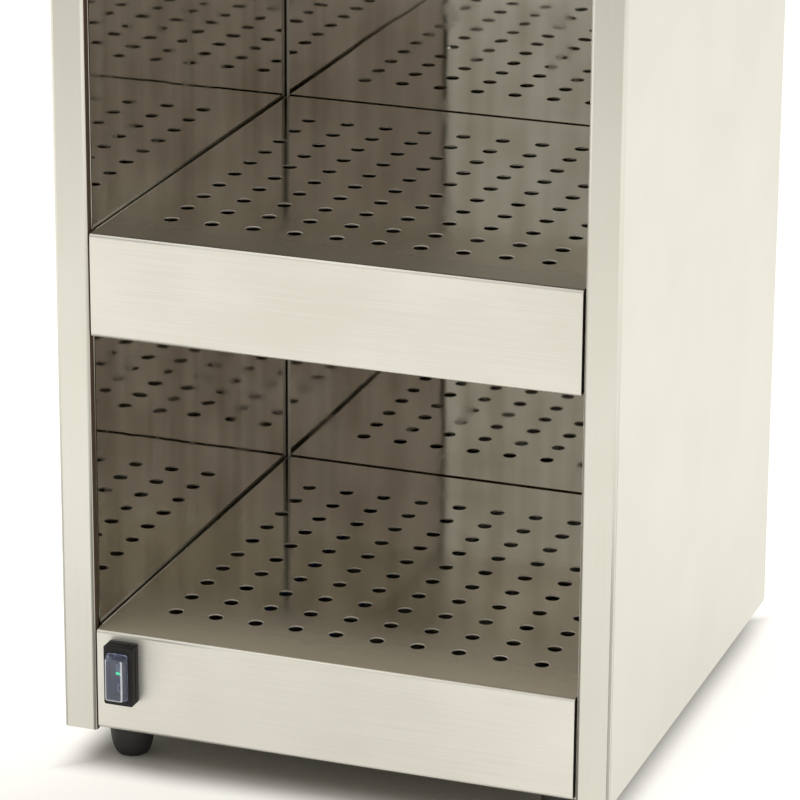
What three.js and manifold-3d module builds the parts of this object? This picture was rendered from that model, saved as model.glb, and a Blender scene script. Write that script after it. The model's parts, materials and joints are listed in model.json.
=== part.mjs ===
// A free-standing cup warming cabinet: three heated perforated shelves between polished walls, in a folded
// stainless steel case on four rubber feet. Millimetres, +Z up. The front faces -Y, and the origin lies on
// the ground below the middle of the whole object.
import * as THREE from "three";
import { mergeGeometries, mergeVertices } from "three/addons/utils/BufferGeometryUtils.js";
import Module from "manifold-3d";

const wasm = await Module();
wasm.setup();

// Whole cabinet
const cabinetWidth = 333;
const cabinetDepth = 333;
const levelPitch = 240; // one perforated floor to the next
const groundGap = 20; // ground to the side panels' lower edge
const lowerFloorRise = 63.8; // side panels' lower edge to the lowest floor
const rimHeight = 30; // side panels above the top floor
const fit = 0.3; // gap between pieces that touch
const overrun = 2; // how far a cut runs past its wall, or a joined shape into its neighbour
const levelNames = ["lower", "middle", "top"];

// Side panels, one folded sheet each
const outerSheet = 1;
const outerBend = 2;
const postWidth = 19; // front face of each side panel
const postReturn = 5; // lip folded back from the post and from the top
const rearFlange = 16;

// Liner, the polished walls inside
const linerSheet = 0.8;
const linerBend = 1.5;
const linerInset = 0.5; // liner face inside the edge of the post
const linerSetback = 3.5; // open joint between the post's lip and the liner
const linerTab = 12;
const rearCavity = 23; // back wall of the compartments to the back of the cabinet

// Shelf trays: perforated floor and front fascia from one sheet
const traySheet = 1;
const trayBend = 2;
const fasciaHeight = 61.8;
const upperFasciaHeight = 61;
const fasciaGap = 2.5; // open joint between fascia and post
const fasciaReturn = 12;
const trayFlange = 12;
const holeDiameter = 8.5;
const holePitchAcross = 25;
const holePitchBack = 24.3;
const frontMargin = 41.4; // front edge to the first row of holes
const leastSideMargin = 30;
const leastRearMargin = 45;

// Base plate and back cover
const baseSheet = 1;
const baseRecess = 0.5; // base plate above the side panels' lower edge
const baseFlange = 14;
const ventLength = 36;
const ventWidth = 4;
const ventPitch = 9;
const ventRows = 4;
const ventSpread = 180; // between the middles of the two columns of slots
const coverSheet = 1;
const coverInset = 1.5;
const coverVentHeight = 120; // middle of the slots above the back cover's lower edge

// Screws
const screwRadius = 2;
const screwHeadRadius = 3.8;
const screwHeadHeight = 2.4;
const screwLength = 9;
const screwInset = 8; // cover screws from the cover's side edges
const screwEndInset = 22; // and from its top and bottom
const nutAcross = 7;
const nutHeight = 3.2;

// Rubber feet
const footTopRadius = 13.3;
const footFlatRadius = 7.8;
const footRecessRadius = 5;
const footRecessDepth = 9;
const footInsetSide = 33.5;
const footInsetFront = 22;
const footScrewPoint = 5; // screw's point above the base plate

// Heating elements and what carries them
const elementRadius = 3.25;
const elementDrop = 30; // floor to the element's middle
const elementSpacing = 50; // one leg to the next
const elementLegs = 4;
const elementClear = 22; // bends from the liner
const pinRadius = 1.6;
const pinLength = 9;
const sheathReach = 3; // heated sheath past the liner
const restSheet = 1.2;
const restFoot = 12;
const restMargin = 12;
const restOffset = 62; // upright web to the right of the middle

// Thermostat under the lower floor
const thermostatRadius = 8;
const thermostatHeight = 9;
const thermostatCapHeight = 3;
const thermostatCapStep = 1;
const thermostatSide = 64; // from the left wall of the compartment
const thermostatRear = 25; // from the back wall of the compartment
const bladeWidth = 4.8;
const bladeSheet = 0.8;
const bladeLength = 8;
const bladeSpacing = 8;

// Terminal block, earth stud and cable gland
const blockPole = 9;
const blockDepth = 18;
const blockHeight = 15;
const blockSide = 106; // middle of the block from the left side panel
const blockRear = 40; // middle of the block from the back of the cabinet
const blockScrewRadius = 2.4;
const blockScrewDepth = 4;
const blockWireHeight = 7;
const studHeight = 14;
const studOffset = 32; // earth stud to the right of the block's middle
const glandHeight = 32; // gland's middle above the base plate
const glandThreadRadius = 8;
const glandBoreRadius = 4.6;
const glandHexRadius = 11;
const glandHexHeight = 4;
const glandInside = 9;
const glandOutside = 9;
const glandNutRadius = 10.4;
const glandNutLength = 15;
const glandNutWall = 1.5;
const locknutHeight = 4;

// Rocker switch on the lower fascia
const switchFromEnd = 16.8; // middle of the switch from the fascia's left end
const switchDrop = 23.5; // and below the lower floor
const bodyWidth = 12.4;
const bodyHeight = 27.2;
const bodyDepth = 22;
const bodyWall = 1.3;
const bodyEndWall = 1.2;
const cavityDepth = 14;
const flangeLip = 1.1; // flange past the body at each side
const flangeEndLip = 1.9; // and at each end
const flangeSheet = 2;
const guardWall = 1.7; // guard outside the flange at each side
const guardEndWall = 2.75;
const guardGrip = 1.6; // guard over the flange's face at each side
const guardEndGrip = 2;
const guardProud = 9.5;
const guardGrooveDepth = 0.6;
const guardGrooveWidth = 1;
const guardGrooveRise = 3.8;
const pivotDepth = 2; // rocker pin behind the fascia's face
const trunnionRadius = 1.3;
const trunnionLength = 1;
const rockerClear = 0.4; // rocker to the body's side walls
const rockerEndClear = 1;
const rockerRise = 11; // pin to the middle of the rocker's face
const rockerHollow = 1; // dip of the face at its middle
const rockerSkirt = 4;
const rockerBoss = 2.6;
const rockerTilt = THREE.MathUtils.degToRad(8);
const capProud = 16;
const capLap = 0.8; // cap's rim on the guard's face at each side of the window
const capEndLap = 1;
const capTaper = 1.25; // slope of each side from the rim to the face
const capEndTaper = 1.5;
const capWall = 1;
const spadeWidth = 6.3;
const spadeLength = 8;
const spadeDepth = 3;
const spadeSpacingAcross = 5.2;
const spadeSpacingUp = 12;

// Wires inside
const wireRadius = 1.3;
const wireBend = 7;
const wireLow = 8; // lower bundle above the base plate
const wireHigh = 17; // upper wire below the floor's underside
const wireLead = 22; // straight run behind a spade
const wireSplay = 20; // length over which the wires spread to their lanes
const wireJog = 6;
const wireSlack = 18;
const wireGrip = 4; // wire's end inside the terminal block

// Facets: bendSteps for each fold, and the sides of round pieces
const bendSteps = 2;
const punchSides = 6;
const holeSides = 8;
const footSides = 12;
const screwSides = 8;
const pipeSides = 6;
const glandSides = 12;
const pipeStep = Math.PI / 4;
const mergeDistance = 1e-4;

// Places worked out from the sizes above
const front = -cabinetDepth / 2;
const back = cabinetDepth / 2;
const side = cabinetWidth / 2;
const postEdge = side - postWidth;
const sideInner = side - outerSheet - fit;
const rearFace = back - coverSheet - fit;
const linerFace = postEdge - linerInset;
const linerFront = front + postReturn + linerSetback;
const backWall = back - rearCavity;
const trayEdge = linerFace - fit;
const fasciaEnd = postEdge - fasciaGap;
const trayRear = backWall - fit;
const floorOf = (level) => groundGap + lowerFloorRise + level * levelPitch;
const cabinetTop = floorOf(levelNames.length - 1) + rimHeight;
const linerTop = cabinetTop - postReturn - linerSetback;
const baseUnder = groundGap + baseRecess;
const baseTop = baseUnder + baseSheet;
const linerBottom = baseUnder + baseFlange + fit;
const coverTop = cabinetTop - outerBend;
const coverBottom = groundGap + coverInset;
const coverHalf = side - coverInset;
const fasciaHeightOf = (level) => (level === 0 ? fasciaHeight : upperFasciaHeight);
const trayCoverUnder = (level) => floorOf(level) - fasciaHeightOf(level) + traySheet + fit;
const seatOf = (level) => (level === 0 ? baseTop : trayCoverUnder(level) + traySheet);
const elementHeight = (level) => floorOf(level) - elementDrop;
const elementMiddle = (linerFront + backWall) / 2;
const legPlaces = spread(elementLegs, elementSpacing, elementMiddle);
const sheathEnd = -(linerFace + linerSheet + sheathReach);
const pinEnd = sheathEnd - pinLength;
const flangeWidth = bodyWidth + 2 * flangeLip;
const flangeHeight = bodyHeight + 2 * flangeEndLip;
const guardWidth = flangeWidth + 2 * guardWall;
const guardHeight = flangeHeight + 2 * guardEndWall;
const guardWindowWidth = flangeWidth - 2 * guardGrip;
const guardWindowHeight = flangeHeight - 2 * guardEndGrip;
const capWidth = guardWindowWidth + 2 * capLap;
const capHeight = guardWindowHeight + 2 * capEndLap;
const rockerWidth = bodyWidth - 2 * bodyWall - 2 * rockerClear;
const rockerLength = bodyHeight - 2 * bodyEndWall - 2 * rockerEndClear;
const switchX = -fasciaEnd + switchFromEnd;
const switchZ = floorOf(0) - switchDrop;
const blockX = -side + blockSide;
const blockY = back - blockRear;
const glandZ = baseTop + glandHeight;
const thermostatX = -linerFace + thermostatSide;
const thermostatY = backWall - thermostatRear;
const thermostatTop = floorOf(0) - traySheet - fit;
const bladeTip = thermostatTop - thermostatHeight - bladeLength;

// Materials
const metal = (color, roughness) => new THREE.MeshStandardMaterial({ color, roughness, metalness: 1 });
const plain = (color, roughness) => new THREE.MeshStandardMaterial({ color, roughness, metalness: 0 });
const satinSteel = metal(0xded9cd, 0.35);
const polishedSteel = metal(0x9a9384, 0.08);
const elementSteel = metal(0x6d6a63, 0.5);
const zincSteel = metal(0xc8c9c6, 0.4);
const brass = metal(0xc9a85a, 0.35);
const blackRubber = plain(0x1b1a19, 0.8);
const blackPlastic = plain(0x1f1e1d, 0.45);
const greyPlastic = plain(0x55565a, 0.5);
const creamPlastic = plain(0xd9d2bd, 0.5);
const clearCap = new THREE.MeshStandardMaterial({
  color: 0x8f99b5,
  roughness: 0.15,
  metalness: 0,
  transparent: true,
  opacity: 0.4,
});
const brownSleeve = plain(0x6b4226, 0.6);
const blueSleeve = plain(0x2c5aa0, 0.6);
const greenSleeve = plain(0x5d8f2a, 0.6);

// A closed geometry as a solid that can be joined and cut
function solidOf(geometry) {
  const bare = geometry.clone();
  bare.deleteAttribute("normal");
  bare.deleteAttribute("uv");
  const merged = mergeVertices(bare, mergeDistance);
  const corners = merged.index.array;
  const faces = [];
  for (let i = 0; i < corners.length; i += 3) {
    const [a, b, c] = corners.slice(i, i + 3);
    if (a !== b && b !== c && c !== a) faces.push(a, b, c);
  }
  const vertProperties = merged.attributes.position.array;
  const triVerts = new Uint32Array(faces);
  return new wasm.Manifold(new wasm.Mesh({ numProp: 3, vertProperties, triVerts }));
}

function geometryOf(solid) {
  const { vertProperties, triVerts } = solid.getMesh();
  const geometry = new THREE.BufferGeometry();
  geometry.setAttribute("position", new THREE.BufferAttribute(vertProperties, 3));
  geometry.setIndex(new THREE.BufferAttribute(triVerts, 1));
  geometry.computeVertexNormals();
  return geometry;
}

function join(...geometries) {
  return geometryOf(geometries.map(solidOf).reduce((whole, piece) => whole.add(piece)));
}

function cut(geometry, ...tools) {
  return geometryOf(tools.map(solidOf).reduce((whole, tool) => whole.subtract(tool), solidOf(geometry)));
}

function common(a, b) {
  return geometryOf(solidOf(a).intersect(solidOf(b)));
}

// A shape drawn in X and Y, raised along Z
function alongZ(shape, from, to) {
  const settings = { depth: to - from, bevelEnabled: false, curveSegments: bendSteps };
  return new THREE.ExtrudeGeometry(shape, settings).translate(0, 0, from);
}

// A shape drawn in X and Z, carried along Y
function alongY(shape, from, to) {
  return alongZ(shape, 0, to - from)
    .rotateX(Math.PI / 2)
    .translate(0, to, 0);
}

// A shape drawn in Y and Z, carried along X
function alongX(shape, from, to) {
  const turn = new THREE.Matrix4().makeBasis(
    new THREE.Vector3(0, 1, 0),
    new THREE.Vector3(0, 0, 1),
    new THREE.Vector3(1, 0, 0),
  );
  return alongZ(shape, 0, to - from)
    .applyMatrix4(turn)
    .translate(from, 0, 0);
}

function polygon(points) {
  return new THREE.Shape(points.map(([x, y]) => new THREE.Vector2(x, y)));
}

function rectangle(x0, x1, y0, y1) {
  return polygon([[x0, y0], [x1, y0], [x1, y1], [x0, y1]]);
}

function block(x0, x1, y0, y1, z0, z1) {
  return alongZ(rectangle(x0, x1, y0, y1), z0, z1);
}

function regular(radius, sides, x = 0, y = 0) {
  const angles = Array.from({ length: sides }, (_, i) => ((i + 0.5) * 2 * Math.PI) / sides);
  return polygon(angles.map((angle) => [x + radius * Math.cos(angle), y + radius * Math.sin(angle)]));
}

// Places spaced evenly about a middle
function spread(count, pitch, middle = 0) {
  return Array.from({ length: count }, (_, i) => middle + (i - (count - 1) / 2) * pitch);
}

// The outline of a folded sheet. The points are the corners of one face, and the sheet lies on their left,
// or on their right where the thickness is negative. The outside of every fold has the given radius.
function foldedSheet(points, thickness, radius) {
  const corners = points.map(([x, y]) => new THREE.Vector2(x, y));
  const along = corners.slice(1).map((corner, i) => corner.clone().sub(corners[i]).normalize());
  const leftOf = (direction) => new THREE.Vector2(-direction.y, direction.x);
  const offset = (corner, direction) => corner.clone().addScaledVector(leftOf(direction), thickness);
  const face = [corners[0]];
  const reverse = [offset(corners[0], along[0])];
  corners.slice(1, -1).forEach((corner, i) => {
    const turn = along[i].cross(along[i + 1]) > 0 ? 1 : -1;
    const towards = turn * thickness > 0;
    const wall = Math.abs(thickness);
    const faceRadius = towards ? radius : radius - wall;
    const otherRadius = towards ? radius - wall : radius;
    const angle = Math.acos(along[i].dot(along[i + 1]));
    const centre = corner.clone().addScaledVector(along[i], -faceRadius * Math.tan(angle / 2));
    centre.addScaledVector(leftOf(along[i]), turn * faceRadius);
    const spoke = leftOf(along[i]).multiplyScalar(-turn);
    for (let step = 0; step <= bendSteps; step += 1) {
      const arm = spoke.clone().rotateAround(new THREE.Vector2(), (turn * angle * step) / bendSteps);
      face.push(centre.clone().addScaledVector(arm, faceRadius));
      reverse.push(centre.clone().addScaledVector(arm, otherRadius));
    }
  });
  const last = corners.length - 1;
  face.push(corners[last]);
  reverse.push(offset(corners[last], along[last - 1]));
  return new THREE.Shape([...face, ...reverse.reverse()]);
}

// A turned piece about Z from radius and height pairs that close on themselves or on the axis
function turned(points, sides) {
  const profile = points.map(([radius, height]) => new THREE.Vector2(radius, height));
  const lathe = new THREE.LatheGeometry(profile, sides).rotateX(Math.PI / 2);
  return geometryOf(solidOf(lathe));
}

// A pipe's middle line: straight runs and round bends, with a station at each end of a run and along a bend
class PipeRoute extends THREE.Curve {
  constructor(corners, bendRadius) {
    super();
    const points = corners.map(([x, y, z]) => new THREE.Vector3(x, y, z));
    const along = points.slice(1).map((point, i) => point.clone().sub(points[i]).normalize());
    const stations = [points[0]];
    points.slice(1, -1).forEach((corner, i) => {
      const angle = along[i].angleTo(along[i + 1]);
      const steps = Math.max(1, Math.round(angle / pipeStep));
      const start = corner.clone().addScaledVector(along[i], -bendRadius * Math.tan(angle / 2));
      const inward = along[i + 1].clone().addScaledVector(along[i], -Math.cos(angle)).normalize();
      for (let step = 0; step <= steps; step += 1) {
        const turn = (angle * step) / steps;
        const station = start.clone().addScaledVector(along[i], bendRadius * Math.sin(turn));
        stations.push(station.addScaledVector(inward, bendRadius * (1 - Math.cos(turn))));
      }
    });
    stations.push(points[points.length - 1]);
    this.stations = stations.filter((p, i) => i === 0 || p.distanceTo(stations[i - 1]) > mergeDistance);
    this.steps = this.stations.length - 1;
  }

  getPoint(t) {
    const place = Math.min(t, 1) * this.steps;
    const i = Math.min(Math.floor(place), this.steps - 1);
    return this.stations[i].clone().lerp(this.stations[i + 1], place - i);
  }

  getPointAt(t) {
    return this.getPoint(t);
  }

  getTangent(t) {
    const i = Math.round(t * this.steps);
    const before = this.stations[Math.max(i - 1, 0)];
    const after = this.stations[Math.min(i + 1, this.steps)];
    const here = this.stations[i];
    const tangent = here.clone().sub(before).normalize();
    return tangent.add(after.clone().sub(here).normalize()).normalize();
  }

  getTangentAt(t) {
    return this.getTangent(t);
  }
}

function pipe(corners, radius, bendRadius) {
  const route = new PipeRoute(corners, bendRadius);
  const settings = { steps: route.steps, bevelEnabled: false, extrudePath: route };
  return geometryOf(solidOf(new THREE.ExtrudeGeometry(regular(radius, pipeSides), settings)));
}

// The side panel's outline from the front, with its upper outer corner rounded
function sideOutline() {
  const corner = spread(bendSteps + 1, Math.PI / 2 / bendSteps, Math.PI / 4);
  const round = corner.map((angle) => [
    side - outerBend + outerBend * Math.cos(angle),
    cabinetTop - outerBend + outerBend * Math.sin(angle),
  ]);
  return polygon([[postEdge, groundGap], [side, groundGap], ...round, [postEdge, cabinetTop]]);
}

// Right-hand side panel: post, wall and rear flange in plan, joined to the top flange
function sidePanelGeometry() {
  const plan = foldedSheet(
    [
      [postEdge, front + postReturn],
      [postEdge, front],
      [side, front],
      [side, rearFace],
      [side - rearFlange, rearFace],
    ],
    outerSheet,
    outerBend,
  );
  const crest = foldedSheet(
    [
      [postEdge, cabinetTop - postReturn],
      [postEdge, cabinetTop],
      [side, cabinetTop],
      [side, cabinetTop - postReturn],
    ],
    -outerSheet,
    outerBend,
  );
  const folded = join(alongZ(plan, groundGap, cabinetTop), alongY(crest, front, rearFace));
  const shell = common(folded, alongY(sideOutline(), front - overrun, back));
  return cut(shell, ...coverScrewPlaces().map(([x, z]) => screwHole(Math.abs(x), z)));
}

// Screws of the back cover, as X and Z
function coverScrewPlaces() {
  const heights = [coverBottom + screwEndInset, (coverBottom + coverTop) / 2, coverTop - screwEndInset];
  return [-1, 1].flatMap((hand) => heights.map((z) => [hand * (coverHalf - screwInset), z]));
}

function screwHole(x, z) {
  const hole = regular(screwRadius + fit, screwSides, x, z);
  return alongY(hole, rearFace - overrun - outerSheet, back + overrun);
}

// Right-hand liner wall, welded by its tab to the side panel
function linerSideGeometry(hand) {
  const plan = foldedSheet(
    [
      [sideInner, linerFront + linerTab],
      [sideInner, linerFront],
      [linerFace, linerFront],
      [linerFace, backWall + linerTab],
    ],
    -linerSheet,
    linerBend,
  );
  const wall = alongZ(plan, linerBottom, linerTop);
  if (hand > 0) return wall;
  const ends = [legPlaces[0], legPlaces[legPlaces.length - 1]];
  const holes = levelNames.flatMap((_, level) =>
    ends.map((y) => {
      const ring = regular(elementRadius + fit, holeSides, y, elementHeight(level));
      return alongX(ring, linerFace - overrun, linerFace + linerSheet + overrun);
    }),
  );
  return cut(wall, ...holes);
}

function linerBackGeometry() {
  const plan = foldedSheet(
    [
      [-trayEdge, backWall + linerTab],
      [-trayEdge, backWall],
      [trayEdge, backWall],
      [trayEdge, backWall + linerTab],
    ],
    linerSheet,
    linerBend,
  );
  return alongZ(plan, linerBottom, linerTop);
}

// Round-ended slots in two columns, drawn about a middle
function ventSlots(middle) {
  const radius = ventWidth / 2;
  const reach = ventLength / 2 - radius;
  const end = spread(bendSteps + 1, Math.PI / bendSteps);
  return spread(2, ventSpread).flatMap((x) =>
    spread(ventRows, ventPitch, middle).map((y) => {
      const right = end.map((a) => [x + reach + radius * Math.cos(a), y + radius * Math.sin(a)]);
      const left = end.map((a) => [x - reach - radius * Math.cos(a), y - radius * Math.sin(a)]);
      return polygon([...right, ...left]);
    }),
  );
}

function backCoverGeometry() {
  const sheet = rectangle(-coverHalf, coverHalf, coverBottom, coverTop);
  sheet.holes.push(...ventSlots(coverBottom + coverVentHeight));
  sheet.holes.push(regular(glandThreadRadius + fit, glandSides, blockX, glandZ));
  sheet.holes.push(...coverScrewPlaces().map(([x, z]) => regular(screwRadius + fit, screwSides, x, z)));
  const crest = foldedSheet(
    [
      [backWall + linerInset, cabinetTop - postReturn],
      [backWall + linerInset, cabinetTop],
      [back, cabinetTop],
      [back, coverTop - overrun],
    ],
    -coverSheet,
    outerBend,
  );
  return join(alongY(sheet, back - coverSheet, back), alongX(crest, -postEdge + fit, postEdge - fit));
}

function basePlateGeometry() {
  const trough = foldedSheet(
    [
      [-sideInner, baseUnder + baseFlange],
      [-sideInner, baseUnder],
      [sideInner, baseUnder],
      [sideInner, baseUnder + baseFlange],
    ],
    baseSheet,
    linerBend,
  );
  const rear = foldedSheet(
    [
      [rearFace - rearFlange, baseUnder],
      [rearFace, baseUnder],
      [rearFace, baseUnder + baseFlange],
    ],
    baseSheet,
    linerBend,
  );
  const rearHalf = side - rearFlange - fit;
  const sideEnd = rearFace - outerSheet - fit;
  const plate = join(
    alongY(trough, front + postReturn + fit, sideEnd),
    alongX(rear, -rearHalf, rearHalf),
  );
  const holes = ventSlots(elementMiddle).map((slot) => alongZ(slot, baseUnder - overrun, baseTop + overrun));
  const bolts = [...footPlaces(), [blockX + studOffset, blockY]];
  const rounds = bolts.map(([x, y]) =>
    alongZ(regular(screwRadius + fit, screwSides, x, y), baseUnder - overrun, baseTop + overrun),
  );
  return cut(plate, mergeGeometries([...holes, ...rounds]));
}

// Punched holes of one floor, as many rows and columns as the floor takes
function punches(level) {
  const across = Math.floor((2 * (trayEdge - leastSideMargin)) / holePitchAcross) + 1;
  const depth = trayRear - front - frontMargin - leastRearMargin;
  const rows = Math.floor(depth / holePitchBack) + 1;
  const middle = front + frontMargin + ((rows - 1) / 2) * holePitchBack;
  const floor = floorOf(level);
  return spread(rows, holePitchBack, middle).flatMap((y) =>
    spread(across, holePitchAcross).map((x) =>
      alongZ(regular(holeDiameter / 2, punchSides, x, y), floor - traySheet - overrun, floor + overrun),
    ),
  );
}

function shelfTrayGeometry(level) {
  const floor = floorOf(level);
  const lowerEdge = floor - fasciaHeightOf(level);
  const nose = foldedSheet(
    [
      [linerFront + overrun, floor],
      [front, floor],
      [front, lowerEdge],
      [front + fasciaReturn, lowerEdge],
    ],
    traySheet,
    trayBend,
  );
  const trough = foldedSheet(
    [
      [-trayEdge, floor - trayFlange],
      [-trayEdge, floor],
      [trayEdge, floor],
      [trayEdge, floor - trayFlange],
    ],
    -traySheet,
    trayBend,
  );
  const heel = foldedSheet(
    [
      [trayRear - trayFlange, floor],
      [trayRear, floor],
      [trayRear, floor - trayFlange],
    ],
    -traySheet,
    trayBend,
  );
  const folded = join(
    alongX(nose, -fasciaEnd, fasciaEnd),
    alongY(trough, linerFront, trayRear - trayBend),
    alongX(heel, -trayEdge + trayBend, trayEdge - trayBend),
  );
  const tools = [mergeGeometries(punches(level))];
  if (level === 0) {
    const halfWidth = bodyWidth / 2 + fit;
    const halfHeight = bodyHeight / 2 + fit;
    const opening = rectangle(
      switchX - halfWidth,
      switchX + halfWidth,
      switchZ - halfHeight,
      switchZ + halfHeight,
    );
    tools.push(alongY(opening, front - overrun, front + traySheet + overrun));
  }
  return cut(folded, ...tools);
}

// Underside of a raised shelf, which closes the space that holds the element
function trayCoverGeometry(level) {
  const under = trayCoverUnder(level);
  const trough = foldedSheet(
    [
      [-trayEdge, under + trayFlange],
      [-trayEdge, under],
      [trayEdge, under],
      [trayEdge, under + trayFlange],
    ],
    traySheet,
    trayBend,
  );
  const heel = foldedSheet(
    [
      [trayRear - trayFlange, under],
      [trayRear, under],
      [trayRear, under + trayFlange],
    ],
    traySheet,
    trayBend,
  );
  return join(
    alongY(trough, linerFront, trayRear - trayBend),
    alongX(heel, -trayEdge + trayBend, trayEdge - trayBend),
  );
}

// Tubular element in four legs, with a cold pin at each end
function heatingElementGeometry(level) {
  const z = elementHeight(level);
  const reach = linerFace - elementClear;
  const [first, second, third, fourth] = legPlaces;
  const sheath = pipe(
    [
      [sheathEnd, first, z],
      [reach, first, z],
      [reach, second, z],
      [-reach, second, z],
      [-reach, third, z],
      [reach, third, z],
      [reach, fourth, z],
      [sheathEnd, fourth, z],
    ],
    elementRadius,
    elementSpacing / 2,
  );
  const pins = [first, fourth].map((y) =>
    alongX(regular(pinRadius, pipeSides, y, z), pinEnd, sheathEnd + overrun),
  );
  return join(sheath, ...pins);
}

// Notched upright that the element's legs lie in, on a foot spot-welded to the sheet below
function elementRestGeometry(level) {
  const seat = seatOf(level) + fit;
  const z = elementHeight(level);
  const notch = elementRadius + fit;
  const start = legPlaces[0] - restMargin;
  const end = legPlaces[legPlaces.length - 1] + restMargin;
  const arc = spread(2 * bendSteps + 1, Math.PI / 2 / bendSteps, -Math.PI / 2);
  const dips = legPlaces.flatMap((y) => arc.map((a) => [y + notch * Math.cos(a), z + notch * Math.sin(a)]));
  const web = polygon([[start, seat], [start, z], ...dips, [end, z], [end, seat]]);
  return join(
    alongX(web, restOffset, restOffset + restSheet),
    block(restOffset, restOffset + restFoot, start, end, seat, seat + restSheet),
  );
}

function thermostatGeometry() {
  const body = thermostatRadius - thermostatCapStep;
  const disc = turned(
    [
      [0, thermostatTop - thermostatHeight],
      [body, thermostatTop - thermostatHeight],
      [body, thermostatTop - thermostatCapHeight],
      [thermostatRadius, thermostatTop - thermostatCapHeight],
      [thermostatRadius, thermostatTop],
      [0, thermostatTop],
    ],
    glandSides,
  ).translate(thermostatX, thermostatY, 0);
  const blades = spread(2, bladeSpacing, thermostatX).map((x) => {
    const thin = bladeSheet / 2;
    const wide = bladeWidth / 2;
    const root = thermostatTop - thermostatHeight + bladeSheet;
    return block(x - thin, x + thin, thermostatY - wide, thermostatY + wide, bladeTip, root);
  });
  return join(disc, ...blades);
}

// Three poles with a wire way through each and a screw well above it
function terminalBlockGeometry() {
  const poles = spread(levelNames.length, blockPole, blockX);
  const half = blockPole / 2;
  const low = baseTop + fit;
  const high = low + blockHeight;
  const start = blockY - blockDepth / 2;
  const end = blockY + blockDepth / 2;
  const body = block(poles[0] - half, poles[poles.length - 1] + half, start, end, low, high);
  const wireWays = poles.map((x) => {
    const bore = regular(wireRadius + fit, holeSides, x, low + blockWireHeight);
    return alongY(bore, start - overrun, end + overrun);
  });
  const wells = poles.map((x) =>
    alongZ(regular(blockScrewRadius, holeSides, x, blockY), high - blockScrewDepth, high + overrun),
  );
  return cut(body, mergeGeometries(wireWays), mergeGeometries(wells));
}

function hexNut(across, height, bore, boreSides) {
  const ring = regular(across / Math.sqrt(3), 6);
  ring.holes.push(regular(bore, boreSides));
  return alongZ(ring, 0, height);
}

// Pan-head screw about Z: the head's underside lies at height 0 and the shank points down
function panScrew(length) {
  return turned(
    [
      [0, -length],
      [screwRadius, -length],
      [screwRadius, 0],
      [screwHeadRadius, 0],
      [screwHeadRadius, screwHeadHeight / 2],
      [screwHeadRadius - screwHeadHeight / 2, screwHeadHeight],
      [0, screwHeadHeight],
    ],
    screwSides,
  );
}

function footPlaces() {
  const x = side - footInsetSide;
  const y = cabinetDepth / 2 - footInsetFront;
  return [[-x, -y], [x, -y], [-x, y], [x, y]];
}

// Rubber foot: rounded from a small flat to its full width, with a well for the screw's head
function footGeometry() {
  const top = baseUnder - fit;
  const bulge = spread(bendSteps * 2 + 1, Math.PI / 4 / bendSteps, Math.PI / 4).map((angle) => [
    footFlatRadius + (footTopRadius - footFlatRadius) * Math.sin(angle),
    top - top * Math.cos(angle),
  ]);
  const bore = screwRadius + fit;
  return turned(
    [
      [bore, footRecessDepth],
      [footRecessRadius, footRecessDepth],
      [footRecessRadius, 0],
      ...bulge,
      [bore, top],
      [bore, footRecessDepth],
    ],
    footSides,
  );
}

// Gland about Z, which stands for its own axis: the cover's outer face lies at height 0
function glandBodyGeometry() {
  const tube = turned(
    [
      [glandBoreRadius, -coverSheet - glandInside],
      [glandThreadRadius, -coverSheet - glandInside],
      [glandThreadRadius, glandHexHeight + glandOutside],
      [glandBoreRadius, glandHexHeight + glandOutside],
      [glandBoreRadius, -coverSheet - glandInside],
    ],
    glandSides,
  );
  const hex = alongZ(regular(glandHexRadius, 6), fit, glandHexHeight);
  const bore = regular(glandBoreRadius, glandSides);
  return cut(join(tube, hex), alongZ(bore, -glandInside - overrun, glandHexHeight + glandOutside + overrun));
}

function glandNutGeometry() {
  const low = glandHexHeight + fit;
  const high = low + glandNutLength;
  const inner = glandThreadRadius + fit;
  const stop = glandHexHeight + glandOutside + fit;
  const shoulder = high - glandNutWall * 2;
  return turned(
    [
      [inner, low],
      [glandNutRadius, low],
      [glandNutRadius, shoulder],
      [glandNutRadius - glandNutWall * 2, high],
      [glandBoreRadius, high],
      [glandBoreRadius, stop + glandNutWall],
      [inner, stop],
      [inner, low],
    ],
    glandSides,
  );
}

// Pieces of the switch are drawn about the switch's middle: X across, Z up, and Y back from the fascia's face
function guardGeometry() {
  const outer = rectangle(-guardWidth / 2, guardWidth / 2, -guardHeight / 2, guardHeight / 2);
  const window = rectangle(
    -guardWindowWidth / 2,
    guardWindowWidth / 2,
    -guardWindowHeight / 2,
    guardWindowHeight / 2,
  );
  const recess = rectangle(
    -flangeWidth / 2 - fit,
    flangeWidth / 2 + fit,
    -flangeHeight / 2 - fit,
    flangeHeight / 2 + fit,
  );
  const groove = rectangle(-guardWidth, guardWidth, -guardHeight, guardHeight);
  groove.holes.push(
    rectangle(
      -guardWidth / 2 + guardGrooveDepth,
      guardWidth / 2 - guardGrooveDepth,
      -guardHeight / 2 + guardGrooveDepth,
      guardHeight / 2 - guardGrooveDepth,
    ),
  );
  return cut(
    alongY(outer, -guardProud, -fit),
    alongY(window, -guardProud - overrun, overrun),
    alongY(recess, -flangeSheet - 2 * fit, overrun),
    alongY(groove, -guardGrooveRise - guardGrooveWidth, -guardGrooveRise),
  );
}

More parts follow.
